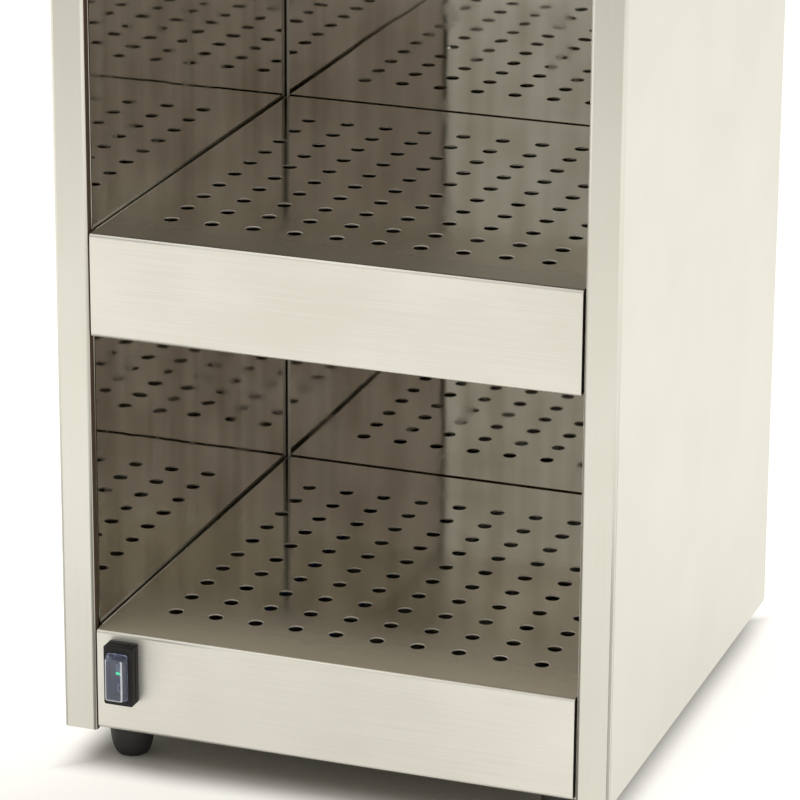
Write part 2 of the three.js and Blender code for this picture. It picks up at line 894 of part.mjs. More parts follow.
function switchBodyGeometry() {
  const flange = rectangle(-flangeWidth / 2, flangeWidth / 2, -flangeHeight / 2, flangeHeight / 2);
  const shell = rectangle(-bodyWidth / 2, bodyWidth / 2, -bodyHeight / 2, bodyHeight / 2);
  const cavityX = bodyWidth / 2 - bodyWall;
  const cavityZ = bodyHeight / 2 - bodyEndWall;
  const cavity = rectangle(-cavityX, cavityX, -cavityZ, cavityZ);
  const pin = regular(trunnionRadius + fit, holeSides, pivotDepth, 0);
  const slots = spadePlaces().map(([x, z]) => {
    const thin = bladeSheet / 2 + fit;
    const wide = spadeWidth / 2 + fit;
    const slot = rectangle(x - thin, x + thin, z - wide, z + wide);
    return alongY(slot, bodyDepth - spadeDepth, bodyDepth + overrun);
  });
  return cut(
    join(alongY(flange, -fit - flangeSheet, -fit), alongY(shell, -fit - flangeSheet, bodyDepth)),
    alongY(cavity, -flangeSheet - overrun, cavityDepth),
    alongX(pin, -bodyWidth, bodyWidth),
    mergeGeometries(slots),
  );
}

function spadePlaces() {
  return spread(2, spadeSpacingUp).flatMap((z) => spread(2, spadeSpacingAcross).map((x) => [x, z]));
}

function spadeGeometry(x, z) {
  const thin = bladeSheet / 2;
  const wide = spadeWidth / 2;
  const root = bodyDepth - spadeDepth + fit;
  return alongY(rectangle(x - thin, x + thin, z - wide, z + wide), root, bodyDepth + spadeLength);
}

// Rocker drawn level about its pin, with a face of two shallow slopes
function rockerGeometry() {
  const half = rockerLength / 2;
  const profile = polygon([
    [-rockerRise, -half],
    [-rockerRise + rockerHollow, 0],
    [-rockerRise, half],
    [-rockerRise + rockerSkirt * 2, half],
    [-rockerSkirt / 2, rockerBoss],
    [rockerBoss, rockerBoss],
    [rockerBoss, -rockerBoss],
    [-rockerSkirt / 2, -rockerBoss],
    [-rockerRise + rockerSkirt * 2, -half],
  ]);
  const pinHalf = rockerWidth / 2 + trunnionLength;
  return join(
    alongX(profile, -rockerWidth / 2, rockerWidth / 2),
    alongX(regular(trunnionRadius, holeSides), -pinHalf, pinHalf),
  );
}

// A hollow that narrows from one rectangle to a smaller one in front of it
function frustum(width, height, faceWidth, faceHeight, from, to) {
  const ring = (w, h, y) => [[-w, y, -h], [w, y, -h], [w, y, h], [-w, y, h]].flat();
  const corners = [...ring(faceWidth / 2, faceHeight / 2, to), ...ring(width / 2, height / 2, from)];
  const sides = [0, 1, 2, 3].flatMap((i) => {
    const next = (i + 1) % 4;
    return [i, i + 4, next, next, i + 4, next + 4];
  });
  const geometry = new THREE.BufferGeometry();
  geometry.setAttribute("position", new THREE.Float32BufferAttribute(corners, 3));
  geometry.setIndex([0, 1, 2, 0, 2, 3, 4, 6, 5, 4, 7, 6, ...sides]);
  return geometry;
}

function splashCapGeometry() {
  const seat = -guardProud - fit;
  const capFaceWidth = capWidth - 2 * capTaper;
  const capFaceHeight = capHeight - 2 * capEndTaper;
  const outer = frustum(capWidth, capHeight, capFaceWidth, capFaceHeight, seat, -capProud);
  const walls = 2 * capWall;
  const inner = frustum(
    capWidth - walls,
    capHeight - walls,
    capFaceWidth - walls,
    capFaceHeight - walls,
    seat + fit,
    -capProud + capWall,
  );
  return cut(outer, inner);
}

// Wires of the cabinet, each as its corners from one connection to the other
function wireRoutes() {
  const low = baseTop + fit + blockWireHeight;
  const [liveX, neutralX, earthX] = spread(levelNames.length, blockPole, blockX);
  const blockFront = blockY - blockDepth / 2;
  const inBlock = blockFront + wireGrip;
  const tip = front + bodyDepth + spadeLength + fit;
  const [left, right] = spread(2, spadeSpacingAcross, switchX);
  const [below, above] = spread(2, spadeSpacingUp, switchZ);
  const leadEnd = tip + wireLead;
  const spreadEnd = leadEnd + wireSplay;
  const high = floorOf(0) - traySheet - wireHigh;
  const [bladeA, bladeB] = spread(2, bladeSpacing, thermostatX);
  const bladeEnd = bladeTip - fit;
  const liveLane = pinEnd + pinRadius;
  const neutralLane = sheathEnd - pinRadius;
  const [pinLive, , , pinNeutral] = legPlaces;
  const lowest = baseTop + wireLow;
  const underPin = elementHeight(0) - pinRadius - fit;
  const stud = blockX + studOffset;
  const routes = {
    wire_live_to_switch: [
      [liveX, inBlock, low],
      [liveX, spreadEnd, low],
      [left, leadEnd, below],
      [left, tip, below],
    ],
    wire_neutral_to_switch: [
      [neutralX, inBlock, low],
      [neutralX, spreadEnd, low],
      [right, leadEnd, below],
      [right, tip, below],
    ],
    wire_switch_to_thermostat: [
      [right, tip, above],
      [right, leadEnd, above],
      [bladeB, spreadEnd + wireSplay, high],
      [bladeB, thermostatY, high],
      [bladeB, thermostatY, bladeEnd],
    ],
    wire_thermostat_to_element: [
      [bladeA, thermostatY, bladeEnd],
      [bladeA, thermostatY, lowest],
      [liveLane, thermostatY, lowest],
      [liveLane, pinLive, lowest],
      [liveLane, pinLive, underPin],
    ],
    wire_switch_to_element: [
      [left, tip, above],
      [left, spreadEnd, above],
      [left, spreadEnd + wireSplay, lowest],
      [neutralLane, spreadEnd + 2 * wireSplay, lowest],
      [neutralLane, pinNeutral, lowest],
      [neutralLane, pinNeutral, underPin],
    ],
    wire_earth: [
      [earthX, inBlock, low],
      [earthX, blockFront - wireSlack, low],
      [stud, blockFront - wireSlack, low],
      [stud, blockY - nutAcross / Math.sqrt(3) - fit, low],
    ],
  };
  const risers = [["live", liveLane, pinLive], ["neutral", neutralLane, pinNeutral]];
  levelNames.slice(1).forEach((name, i) => {
    const start = elementHeight(i) + pinRadius + fit;
    const end = elementHeight(i + 1) - pinRadius - fit;
    risers.forEach(([kind, x, y]) => {
      routes[`wire_${kind}_to_${name}_element`] = [
        [x, y, start],
        [x, y, start + wireSlack],
        [x, y + wireJog, start + 2 * wireSlack],
        [x, y + wireJog, end - 2 * wireSlack],
        [x, y, end - wireSlack],
        [x, y, end],
      ];
    });
  });
  return routes;
}

const cupWarmer = new THREE.Group();
const cabinet = new THREE.Group();
cabinet.position.y = (capProud - glandHexHeight - fit - glandNutLength) / 2;
cupWarmer.add(cabinet);

function addPiece(name, material, geometry, parent = cabinet) {
  const mesh = new THREE.Mesh(geometry, material);
  mesh.name = name;
  parent.add(mesh);
  return mesh;
}

function turnedGroup(x, y, z, turnX) {
  const group = new THREE.Group();
  group.position.set(x, y, z);
  group.rotation.x = turnX;
  cabinet.add(group);
  return group;
}

// Case
addPiece("side_panel_right", satinSteel, sidePanelGeometry());
addPiece("side_panel_left", satinSteel, sidePanelGeometry()).scale.x = -1;
addPiece("liner_right", polishedSteel, linerSideGeometry(1));
addPiece("liner_left", polishedSteel, linerSideGeometry(-1)).scale.x = -1;
addPiece("liner_back", polishedSteel, linerBackGeometry());
addPiece("back_cover", satinSteel, backCoverGeometry());
addPiece("base_plate", satinSteel, basePlateGeometry());

// Shelves, with the element and its rest in each
levelNames.forEach((name, level) => {
  addPiece(`shelf_tray_${name}`, satinSteel, shelfTrayGeometry(level));
  if (level > 0) addPiece(`shelf_cover_${name}`, polishedSteel, trayCoverGeometry(level));
  addPiece(`heating_element_${name}`, elementSteel, heatingElementGeometry(level));
  addPiece(`element_rest_${name}`, zincSteel, elementRestGeometry(level));
});
addPiece("thermostat", creamPlastic, thermostatGeometry());

// Feet, each with the screw that cuts its thread in the base plate
const footNames = ["front_left", "front_right", "rear_left", "rear_right"];
const footScrewLength = baseTop - footRecessDepth + fit + footScrewPoint;
footPlaces().forEach(([x, y], i) => {
  addPiece(`foot_${footNames[i]}`, blackRubber, footGeometry()).position.set(x, y, 0);
  const under = turnedGroup(x, y, footRecessDepth - fit, Math.PI);
  addPiece(`foot_screw_${footNames[i]}`, zincSteel, panScrew(footScrewLength), under);
});

// Back cover's screws
coverScrewPlaces().forEach(([x, z], i) => {
  const behind = turnedGroup(x, back + fit, z, -Math.PI / 2);
  addPiece(`cover_screw_${i + 1}`, zincSteel, panScrew(screwLength), behind);
});

// Cable gland in the back cover, open for a cord
const glandPlace = turnedGroup(blockX, back, glandZ, -Math.PI / 2);
addPiece("cable_gland_body", blackPlastic, glandBodyGeometry(), glandPlace);
addPiece("cable_gland_nut", blackPlastic, glandNutGeometry(), glandPlace);
const locknut = hexNut(glandHexRadius * Math.sqrt(3), locknutHeight, glandThreadRadius + fit, glandSides);
const locknutPiece = addPiece("cable_gland_locknut", blackPlastic, locknut, glandPlace);
locknutPiece.position.z = -coverSheet - fit - locknutHeight;

// Terminal block and earth stud on the base plate
addPiece("terminal_block", creamPlastic, terminalBlockGeometry());
const stud = turnedGroup(blockX + studOffset, blockY, baseUnder - fit, Math.PI);
addPiece("earth_stud", brass, panScrew(studHeight), stud);
const studNut = hexNut(nutAcross, nutHeight, screwRadius + fit, screwSides);
addPiece("earth_nut", brass, studNut).position.set(blockX + studOffset, blockY, baseTop + fit);

// Switch
const switchPlace = turnedGroup(switchX, front, switchZ, 0);
addPiece("switch_guard", blackRubber, guardGeometry(), switchPlace);
addPiece("switch_body", blackPlastic, switchBodyGeometry(), switchPlace);
addPiece("splash_cap", clearCap, splashCapGeometry(), switchPlace);
spadePlaces().forEach(([x, z], i) => {
  addPiece(`switch_terminal_${i + 1}`, brass, spadeGeometry(x, z), switchPlace);
});
const pivot = turnedGroup(switchX, front + pivotDepth, switchZ, rockerTilt);
addPiece("switch_rocker", greyPlastic, rockerGeometry(), pivot);

// Wires
const sleeves = { live: brownSleeve, neutral: blueSleeve, switch: blueSleeve, earth: greenSleeve };
Object.entries(wireRoutes()).forEach(([name, corners]) => {
  const kind = name.split("_")[1];
  addPiece(name, sleeves[kind] ?? brownSleeve, pipe(corners, wireRadius, wireBend));
});

export default cupWarmer;
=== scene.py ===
# Cup warming cabinet: a folded stainless steel case with polished walls inside, three heated shelves with
# punched floors, a rocker switch under a clear cap, and four rubber feet. Metres, +Z up; the front faces -Y.
import json
import math

import bmesh
import bpy
from mathutils import Matrix, Vector


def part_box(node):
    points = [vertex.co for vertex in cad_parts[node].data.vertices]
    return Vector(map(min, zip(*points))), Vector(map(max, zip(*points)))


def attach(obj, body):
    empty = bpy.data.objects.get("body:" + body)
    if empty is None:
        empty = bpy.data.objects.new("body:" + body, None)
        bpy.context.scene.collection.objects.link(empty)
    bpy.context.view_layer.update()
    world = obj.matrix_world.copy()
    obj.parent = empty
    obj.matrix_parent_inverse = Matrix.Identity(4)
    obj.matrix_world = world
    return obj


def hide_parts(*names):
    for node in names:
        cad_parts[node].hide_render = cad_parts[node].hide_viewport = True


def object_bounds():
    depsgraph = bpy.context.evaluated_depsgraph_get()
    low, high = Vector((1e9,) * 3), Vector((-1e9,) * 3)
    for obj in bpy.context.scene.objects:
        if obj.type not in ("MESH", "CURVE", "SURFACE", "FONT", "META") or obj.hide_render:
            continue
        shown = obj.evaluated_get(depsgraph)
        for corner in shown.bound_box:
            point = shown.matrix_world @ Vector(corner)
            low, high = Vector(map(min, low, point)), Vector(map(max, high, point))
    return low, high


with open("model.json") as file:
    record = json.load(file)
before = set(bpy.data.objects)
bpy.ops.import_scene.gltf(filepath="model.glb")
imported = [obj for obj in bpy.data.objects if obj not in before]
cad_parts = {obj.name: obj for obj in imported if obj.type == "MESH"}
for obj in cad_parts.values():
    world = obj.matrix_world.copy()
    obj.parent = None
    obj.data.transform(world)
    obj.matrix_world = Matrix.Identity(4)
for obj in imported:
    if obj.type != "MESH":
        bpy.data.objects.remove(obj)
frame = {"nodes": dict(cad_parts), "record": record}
cad_low, cad_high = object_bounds()
mm = 0.001
X, Y, Z = Vector((1, 0, 0)), Vector((0, 1, 0)), Vector((0, 0, 1))


# The photograph looks down on the cabinet from the right of its front, through a long lens. The camera
# leans by a third of a degree. These angles, the place and the lens put the floors' holes where the
# photograph has them.
def placed(name, data):
    """A new object in the scene that holds the data."""
    thing = bpy.data.objects.new(name, data)
    bpy.context.scene.collection.objects.link(thing)
    return thing


camera_azimuth, camera_elevation = math.radians(19.618), math.radians(19.575)
camera_roll = math.radians(0.354)
camera_place = Vector((0.7920, -2.2764, 1.0440))
camera_lens, camera_film, camera_reach = 193.42, 36, 60
camera_data = bpy.data.cameras.new("camera")
camera_data.lens = camera_lens
camera_data.sensor_width = camera_film
camera_data.clip_end = camera_reach
camera = placed("camera", camera_data)
camera_tilt = math.pi / 2 - camera_elevation
aimed = Matrix.Rotation(camera_azimuth, 4, "Z") @ Matrix.Rotation(camera_tilt, 4, "X")
camera.matrix_world = Matrix.Translation(camera_place) @ aimed @ Matrix.Rotation(camera_roll, 4, "Z")
bpy.context.scene.camera = camera
bpy.context.scene.view_settings.view_transform = "Standard"
# Light that is mirrored again and again between the polished walls is followed further than usual.
bpy.context.scene.cycles.glossy_bounces = 10


# The studio: a white sweep under and round the cabinet. Most of the floor's light is its own glow. Close to
# the cabinet the glow is faded out as a narrow painted shadow, and on a patch in front of it it is lessened
# as painted shade. The paper ends further in front, where the posts mirror the greyer floor of the studio.
# From below the floor can be seen through.
def linear(colour):
    """A colour as a hex value on the screen, in the linear light that shaders reckon in."""
    channels = [int(colour[i : i + 2], 16) / 255 for i in (1, 3, 5)]
    return [c / 12.92 if c <= 0.04045 else ((c + 0.055) / 1.055) ** 2.4 for c in channels] + [1]


def add(tree, kind, inputs=None, **settings):
    """Adds a shader node with its settings, and gives each named input a value, or a link to another node."""
    node = tree.nodes.new("ShaderNode" + kind)
    for name, value in settings.items():
        setattr(node, name, value)
    for name, value in (inputs or {}).items():
        if isinstance(value, bpy.types.Node):
            value = value.outputs[0]
        if isinstance(value, bpy.types.NodeSocket):
            tree.links.new(value, node.inputs[name])
        else:
            node.inputs[name].default_value = value
    return node


def new_material(name):
    """An empty material, its tree, and the socket that tells the place on the piece."""
    material = bpy.data.materials.new(name)
    material.use_nodes = True
    tree = material.node_tree
    tree.nodes.clear()
    return material, tree, add(tree, "TexCoord").outputs["Object"]


soft_step = {"interpolation_type": "SMOOTHSTEP"}
floor_radius, floor_sides = 9.0, 96
black_light, white_light = linear("#000000"), linear("#ffffff")
paper_glow, paper_white, studio_grey = linear("#e3e1dc"), linear("#aeaca7"), linear("#b4b0a4")
paper_ends_at, grey_starts_at = -1.05, -2.1
shade_inside, shade_outside = -22 * mm, 7 * mm
front_patch = Vector((-0.08, -0.33, 0))
patch_share, patch_core, patch_edge = 0.6, 60 * mm, 340 * mm
paper, tree, place = new_material("white_paper_sweep")
apart = add(tree, "SeparateXYZ", {0: place})
past_paper = add(tree, "MapRange", {0: apart.outputs["Y"], 1: paper_ends_at, 2: grey_starts_at}, **soft_step)
beside = []
for axis, half_size in (("X", cad_high.x), ("Y", cad_high.y)):
    off_middle = add(tree, "Math", {0: apart.outputs[axis]}, operation="ABSOLUTE")
    beside.append(add(tree, "Math", {0: off_middle, 1: half_size}, operation="SUBTRACT"))
away = add(tree, "Math", {0: beside[0], 1: beside[1]}, operation="MAXIMUM")
# Close to the cabinet the floor's glow is faded out: a painted shadow.
outside_painted_shadow = add(tree, "MapRange", {0: away, 1: shade_inside, 2: shade_outside}, **soft_step)
# On a patch in front of the cabinet the glow is lessened: painted shade.
off_patch = add(tree, "VectorMath", {0: place, 1: front_patch}, operation="DISTANCE")
patch_range = {0: off_patch.outputs["Value"], 1: patch_core, 2: patch_edge, 3: patch_share, 4: 1.0}
painted_patch_shade = add(tree, "MapRange", patch_range, **soft_step)
glow_kept_share = add(tree, "Math", {0: outside_painted_shadow, 1: painted_patch_shade}, operation="MULTIPLY")
glow_left = add(tree, "Math", {0: glow_kept_share, 1: past_paper}, operation="SUBTRACT", use_clamp=True)
glow_tone = add(tree, "MixRGB", {0: glow_left, 1: black_light, 2: paper_glow})
matt_tone = add(tree, "MixRGB", {0: past_paper, 1: paper_white, 2: studio_grey})
glow = add(tree, "Emission", {"Color": glow_tone})
matt = add(tree, "BsdfDiffuse", {"Color": matt_tone})
top_side = add(tree, "AddShader", {0: glow, 1: matt})
see_through = add(tree, "BsdfTransparent")
side = add(tree, "NewGeometry")
both = add(tree, "MixShader", {0: side.outputs["Backfacing"], 1: top_side, 2: see_through})
add(tree, "OutputMaterial", {"Surface": both})
bm = bmesh.new()
bmesh.ops.create_circle(bm, cap_ends=True, radius=floor_radius, segments=floor_sides)
floor_mesh = bpy.data.meshes.new("floor")
bm.to_mesh(floor_mesh)
bm.free()
floor_mesh.materials.append(paper)
studio_floor = placed("floor", floor_mesh)

# The room: white all round, but for the dim space above and behind the photographer, which the polished
# walls and floors inside the cabinet mirror. It is dimmer on the photographer's own side. The steps say how
# high and how far round each part starts.
room_light = 1.05
room_dim, photographer_dim = linear("#bfbdb3"), linear("#aea69e")
photographer_from, photographer_full = -0.1, 0.15
dim_starts_at_rise, dim_full_at_rise = 0.04, 0.22
dim_starts_ahead, dim_full_ahead = -0.25, -0.6
world = bpy.data.worlds.new("studio")
bpy.context.scene.world = world
world.use_nodes = True
tree = world.node_tree
tree.nodes.clear()
direction = add(tree, "TexCoord")
part = add(tree, "SeparateXYZ", {0: direction.outputs["Generated"]})
above = add(tree, "MapRange", {0: part.outputs["Z"], 1: dim_starts_at_rise, 2: dim_full_at_rise}, **soft_step)
ahead = add(tree, "MapRange", {0: part.outputs["Y"], 1: dim_starts_ahead, 2: dim_full_ahead}, **soft_step)
share = add(tree, "Math", {0: above, 1: ahead}, operation="MULTIPLY")
aside = add(tree, "MapRange", {0: part.outputs["X"], 1: photographer_from, 2: photographer_full}, **soft_step)
dim = add(tree, "MixRGB", {0: aside, 1: room_dim, 2: photographer_dim})
room = add(tree, "MixRGB", {0: share, 1: white_light, 2: dim})
ray = add(tree, "LightPath")
seen = add(tree, "MixRGB", {0: ray.outputs["Is Camera Ray"], 1: room, 2: white_light})
light = add(tree, "Background", {"Color": seen, "Strength": room_light})
add(tree, "OutputWorld", {"Surface": light})

# One large soft lamp, high on the left, lays the faint shadow at the right and lights the folds' edges.
lamp_place = Vector((-0.9, -0.9, 2.4))
lamp_width, lamp_depth, lamp_watts = 3.6, 0.9, 34
lamp_data = bpy.data.lights.new("softbox", "AREA")
lamp_data.shape = "RECTANGLE"
lamp_data.size, lamp_data.size_y, lamp_data.energy = lamp_width, lamp_depth, lamp_watts
lamp = placed("softbox", lamp_data)
lamp.matrix_world = Matrix.Translation(lamp_place) @ lamp_place.to_track_quat("Z", "Y").to_matrix().to_4x4()


# Side panels: 1 mm stainless sheet, satin finished. Each is folded from one blank into a post at the front,
# the wall, a flange at the rear and one at the top, with a 5 mm lip along the opening.
slow_drift, quick_drift = 70 * mm, 9 * mm
streak_low, streak_high, drift_low, drift_high = 0.15, 0.38, 0.3, 0.7
crisp, sharp_fold = math.radians(32), math.radians(40)
weld_reach, hair = 0.01 * mm, 0.001 * mm


def steel(name, colour, shade, grain, roughness, rough_spread, groove, wave=0.0):
    """Stainless steel sheet, ground along one axis: a soft mirror with faint streaks and a slow drift in tone.
    The grain gives a streak's size along X, Y and Z, the groove its depth, and the wave how far the sheet is
    from flat, which bends what it mirrors."""
    material, tree, place = new_material(name)
    stretch = add(tree, "Mapping", {"Vector": place, "Scale": [1 / length for length in grain]})
    streak = add(tree, "TexNoise", {"Vector": stretch, "Scale": 1.0, "Detail": 3.0})
    drift = add(tree, "TexNoise", {"Vector": place, "Scale": 1 / slow_drift, "Detail": 2.0})
    both = add(tree, "Math", {0: streak, 1: drift}, operation="MULTIPLY")
    tone = add(tree, "MapRange", {0: both, 1: streak_low, 2: streak_high})
    tint = add(tree, "MixRGB", {0: tone, 1: linear(colour), 2: linear(shade)})
    least, most = roughness - rough_spread, roughness + rough_spread
    rough = add(tree, "MapRange", {0: drift, 1: drift_low, 2: drift_high, 3: least, 4: most})
    flatness = add(tree, "Bump", {"Height": drift, "Distance": wave, "Strength": 1.0})
    ground = {"Height": streak, "Distance": groove, "Strength": 1.0, "Normal": flatness}
    inputs = {"Base Color": tint, "Metallic": 1.0, "Roughness": rough, "Normal": add(tree, "Bump", ground)}
    add(tree, "OutputMaterial", {"Surface": add(tree, "BsdfPrincipled", inputs)})
    return material


def plain(name, colour, shade, roughness, grit, bump_height, **sockets):
    """A moulded or plated finish: one colour with a slow drift, and a fine texture of the given grit."""
    material, tree, place = new_material(name)
    drift = add(tree, "TexNoise", {"Vector": place, "Scale": 1 / quick_drift, "Detail": 2.0})
    fine = add(tree, "TexNoise", {"Vector": place, "Scale": 1 / grit, "Detail": 2.0})
    tint = add(tree, "MixRGB", {0: drift, 1: linear(colour), 2: linear(shade)})
    bump = add(tree, "Bump", {"Height": fine, "Distance": bump_height})
    inputs = {"Base Color": tint, "Roughness": roughness, "Normal": bump}
    surface = add(tree, "BsdfPrincipled", {**inputs, **sockets})
    add(tree, "OutputMaterial", {"Surface": surface})
    return material


def weld(bm, reach=weld_reach):
    """Joins corners that lie together."""
    bmesh.ops.remove_doubles(bm, verts=bm.verts, dist=reach)


def ease(bm, radius, steps=2):
    """Rounds the sharp edges of a mesh, as a mould, a tumbler or a folding bench leaves them."""
    weld(bm)
    sharp = [edge for edge in bm.edges if len(edge.link_faces) == 2 and edge.calc_face_angle() > sharp_fold]
    evenly = {"profile": 0.5, "affect": "EDGES", "material": -1}
    return bmesh.ops.bevel(bm, geom=sharp, offset=radius, segments=steps, **evenly)["faces"]


def shade_round(faces):
    """Shades faces as parts of one curve."""
    for face in faces:
        face.smooth = True


def finished(bm, name, material, slot, *nodes, body="cabinet", wall=None, outside=None):
    """Welds a mesh and hangs the piece on its body. A sheet gets its wall on the side away from outside. On
    any other piece every edge flatter than the crisp angle is shaded round."""
    weld(bm)
    bmesh.ops.recalc_face_normals(bm, faces=bm.faces)
    if wall:
        facing = sum((face.normal * face.calc_area() for face in bm.faces), Vector())
        if facing.dot(outside) < 0:
            bmesh.ops.reverse_faces(bm, faces=bm.faces)
        bmesh.ops.solidify(bm, geom=bm.faces[:], thickness=wall)
    else:
        shade_round(bm.faces)
        for edge in bm.edges:
            edge.smooth = len(edge.link_faces) == 2 and edge.calc_face_angle() < crisp
    mesh = bpy.data.meshes.new(name)
    bm.to_mesh(mesh)
    bm.free()
    mesh.materials.append(material)
    piece = placed(name, mesh)
    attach(piece, body)
    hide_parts(*nodes)
    return piece


def add_finishes(piece, *materials):
    """Gives a piece more finishes, after its first."""
    for material in materials:
        piece.data.materials.append(material)


def middle_of(node):
    """The middle of the box that a solid fills."""
    low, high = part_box(node)
    return (low + high) / 2


def ring(bm, points):
    """A closed run of edges through the points."""
    corners = [bm.verts.new(point) for point in points]
    return [bm.edges.new(pair) for pair in zip(corners, corners[1:] + corners[:1])]


def corners_in(parts):
    """The corners among the parts that a step has made."""
    return [part for part in parts if isinstance(part, bmesh.types.BMVert)]


def round_corners(bm, centre, across, up, width, height, corner, sides):
    """The corners of a rectangle with round corners, across and up about its centre, joined by edges."""
    corners = bmesh.ops.create_circle(bm, cap_ends=False, radius=corner, segments=sides)["verts"]
    half_step = Matrix.Rotation(math.pi / sides, 3, "Z")
    for vert in corners:
        place = half_step @ vert.co
        place.x += math.copysign(width / 2 - corner, place.x)
        place.y += math.copysign(height / 2 - corner, place.y)
        vert.co = centre + across * place.x + up * place.y
    return corners


def round_edge(*outline):
    """The edge of a rectangle with round corners."""
    return list({edge for vert in round_corners(*outline) for edge in vert.link_edges})


def round_hole(bm, centre, radius, sides, across, up):
    """The edge of a round hole."""
    return round_edge(bm, centre, across, up, 2 * radius, 2 * radius, radius, sides)


def screw_hole(bm, centre, across, up):
    """The edge of a hole that lets a screw through."""
    return round_hole(bm, centre, screw_radius + gap, screw_sides, across, up)


def sheet_between(bm, outline, holes=()):
    """Fills the flat sheet between its outline and the edges of its holes."""
    bmesh.ops.triangle_fill(bm, edges=outline + list(holes), use_beauty=True)


def box_of(low, high):
    """A bmesh holding one box between two corners."""
    bm = bmesh.new()
    bmesh.ops.create_cube(bm, size=1)
    bmesh.ops.scale(bm, vec=high - low, verts=bm.verts)
    bmesh.ops.translate(bm, vec=(low + high) / 2, verts=bm.verts)
    return bm


outer_sheet, outer_bend, bend_steps = 1 * mm, 2 * mm, 6
lip, rear_flange = 5 * mm, 16 * mm
gap = 0.3 * mm
screw_radius, screw_sides = 2 * mm, 16
# Real scratches are 0.1 mm wide, too fine to show, so they are drawn 0.8 mm wide and 70 mm long.
scratch_width, scratch_length = 0.8 * mm, 70 * mm
upright_grain = (scratch_width, scratch_width, scratch_length)
satin_name = "satin_stainless_upright_grain"
satin_upright = steel(satin_name, "#d6d5cd", "#d3d2c9", upright_grain, 0.34, 0.015, 0.002 * mm)
# A pale matt finish is painted on as a highlight: on the posts' lips, beside the back wall's bends, on the
# trays' front folds and side bends, and round the holes' rims. The joints are darker, with dirt and painted
# shade, and the gaps behind the posts' lips and the walls of the holes over the elements are painted a
# darker brown, as shade.
painted_highlight_edge = plain("painted_highlight_edge", "#e9e6db", "#dedace", 0.5, 0.3 * mm, 0.004 * mm)
joint_grain = [6 * mm] * 3
joint_dirt_and_shade = steel("soiled_and_shaded_joint", "#82745f", "#6a5d4a", joint_grain, 0.6, 0.05, 0.01 * mm)
painted_dark_shade = plain("burnt_on_soil", "#4c3d2c", "#584733", 0.7, 0.5 * mm, 0.01 * mm)
highlighted_lip, crest_share = 1.05 * mm, 0.7
lip_reach, mostly = 1.5 * outer_sheet, 0.9
cover_screws = [middle_of(f"cover_screw_{number}") for number in range(1, 7)]
low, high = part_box("side_panel_right")
# The photograph shows the posts a little wider than the solids have them, with less of a gap at the fascias.
wider_post = 1.3 * mm
low = low - X * wider_post
flange_edge = high.x - rear_flange
for name, hand in (("side_panel_right", 1), ("side_panel_left", -1)):
    bm = box_of(low, high)
    mouths = [f for f in bm.faces if f.normal.x < -mostly or f.normal.z < -mostly or f.normal.y > mostly]
    bmesh.ops.delete(bm, geom=mouths, context="FACES")
    top = [face for face in bm.faces if face.normal.z > mostly]
    around = top[0].edges[:] + top[0].verts[:]
    bmesh.ops.bisect_plane(bm, geom=top + around, plane_co=X * flange_edge, plane_no=X)
    flange = ((high.x, low.z), (high.x, high.z), (flange_edge, high.z), (flange_edge, low.z))
    outline = ring(bm, [(x, high.y, z) for x, z in flange])
    holes = []
    for place in cover_screws:
        if place.x > 0:
            holes += screw_hole(bm, Vector((place.x, high.y, place.z)), X, Z)
    sheet_between(bm, outline, holes)
    weld(bm, hair)
    inner = [edge for edge in bm.edges if all(abs(v.co.x - low.x) < hair for v in edge.verts)]
    grown = bmesh.ops.extrude_edge_only(bm, edges=inner)["geom"]
    corners = corners_in(grown)
    front_corners = [v for v in corners if abs(v.co.y - low.y) < hair]
    top_corners = [v for v in corners if abs(v.co.z - high.z) < hair]
    bmesh.ops.translate(bm, verts=front_corners, vec=Y * lip)
    bmesh.ops.translate(bm, verts=top_corners, vec=-Z * lip)
    bmesh.ops.recalc_face_normals(bm, faces=bm.faces)
    shade_round(ease(bm, outer_bend, bend_steps))
    all_parts = bm.verts[:] + bm.edges[:] + bm.faces[:]
    bmesh.ops.bisect_plane(bm, geom=all_parts, plane_co=Y * (low.y + highlighted_lip), plane_no=Y)
    bmesh.ops.scale(bm, vec=(hand, 1, 1), verts=bm.verts)
    turned_out = {"wall": outer_sheet, "outside": X * hand}
    panel = finished(bm, f"{name}_sheet", satin_upright, "satin_steel", name, **turned_out)
    add_finishes(panel, painted_highlight_edge, painted_dark_shade)
    # The lip's front strip is painted pale as a highlight, the rest dark as painted shade in the gap.
    for face in panel.data.polygons:
        by_lip = abs(face.center.x) < low.x + lip_reach and face.center.y < low.y + lip
        if by_lip and face.normal.x * hand < -crest_share:
            face.material_index = 2 if face.center.y > low.y + highlighted_lip else 1


# Liner: the walls inside are 0.8 mm stainless sheet with a bright polish. The side walls turn out behind the
# posts and are welded there, and the back wall's edges turn back between them.
def carry(bm, edges, by):
    """Runs a sheet or a tube straight on from its free edges, and gives the new free edges."""
    grown = bmesh.ops.extrude_edge_only(bm, edges=edges)["geom"]
    corners = set(corners_in(grown))
    bmesh.ops.translate(bm, verts=list(corners), vec=by)
    for face in grown:
        if isinstance(face, bmesh.types.BMFace):
            face.smooth = False
    return [g for g in grown if isinstance(g, bmesh.types.BMEdge) and corners.issuperset(g.verts)]


def bend(bm, edges, centre, axis, angle):
    """Runs a sheet or a tube on from its free edges round a bend, and gives the new free edges."""
    flat = set(bm.faces)
    bent = bmesh.ops.spin(bm, geom=edges, cent=centre, axis=axis, angle=angle, steps=bend_steps)
    shade_round(set(bm.faces) - flat)
    return [g for g in bent["geom_last"] if isinstance(g, bmesh.types.BMEdge)]


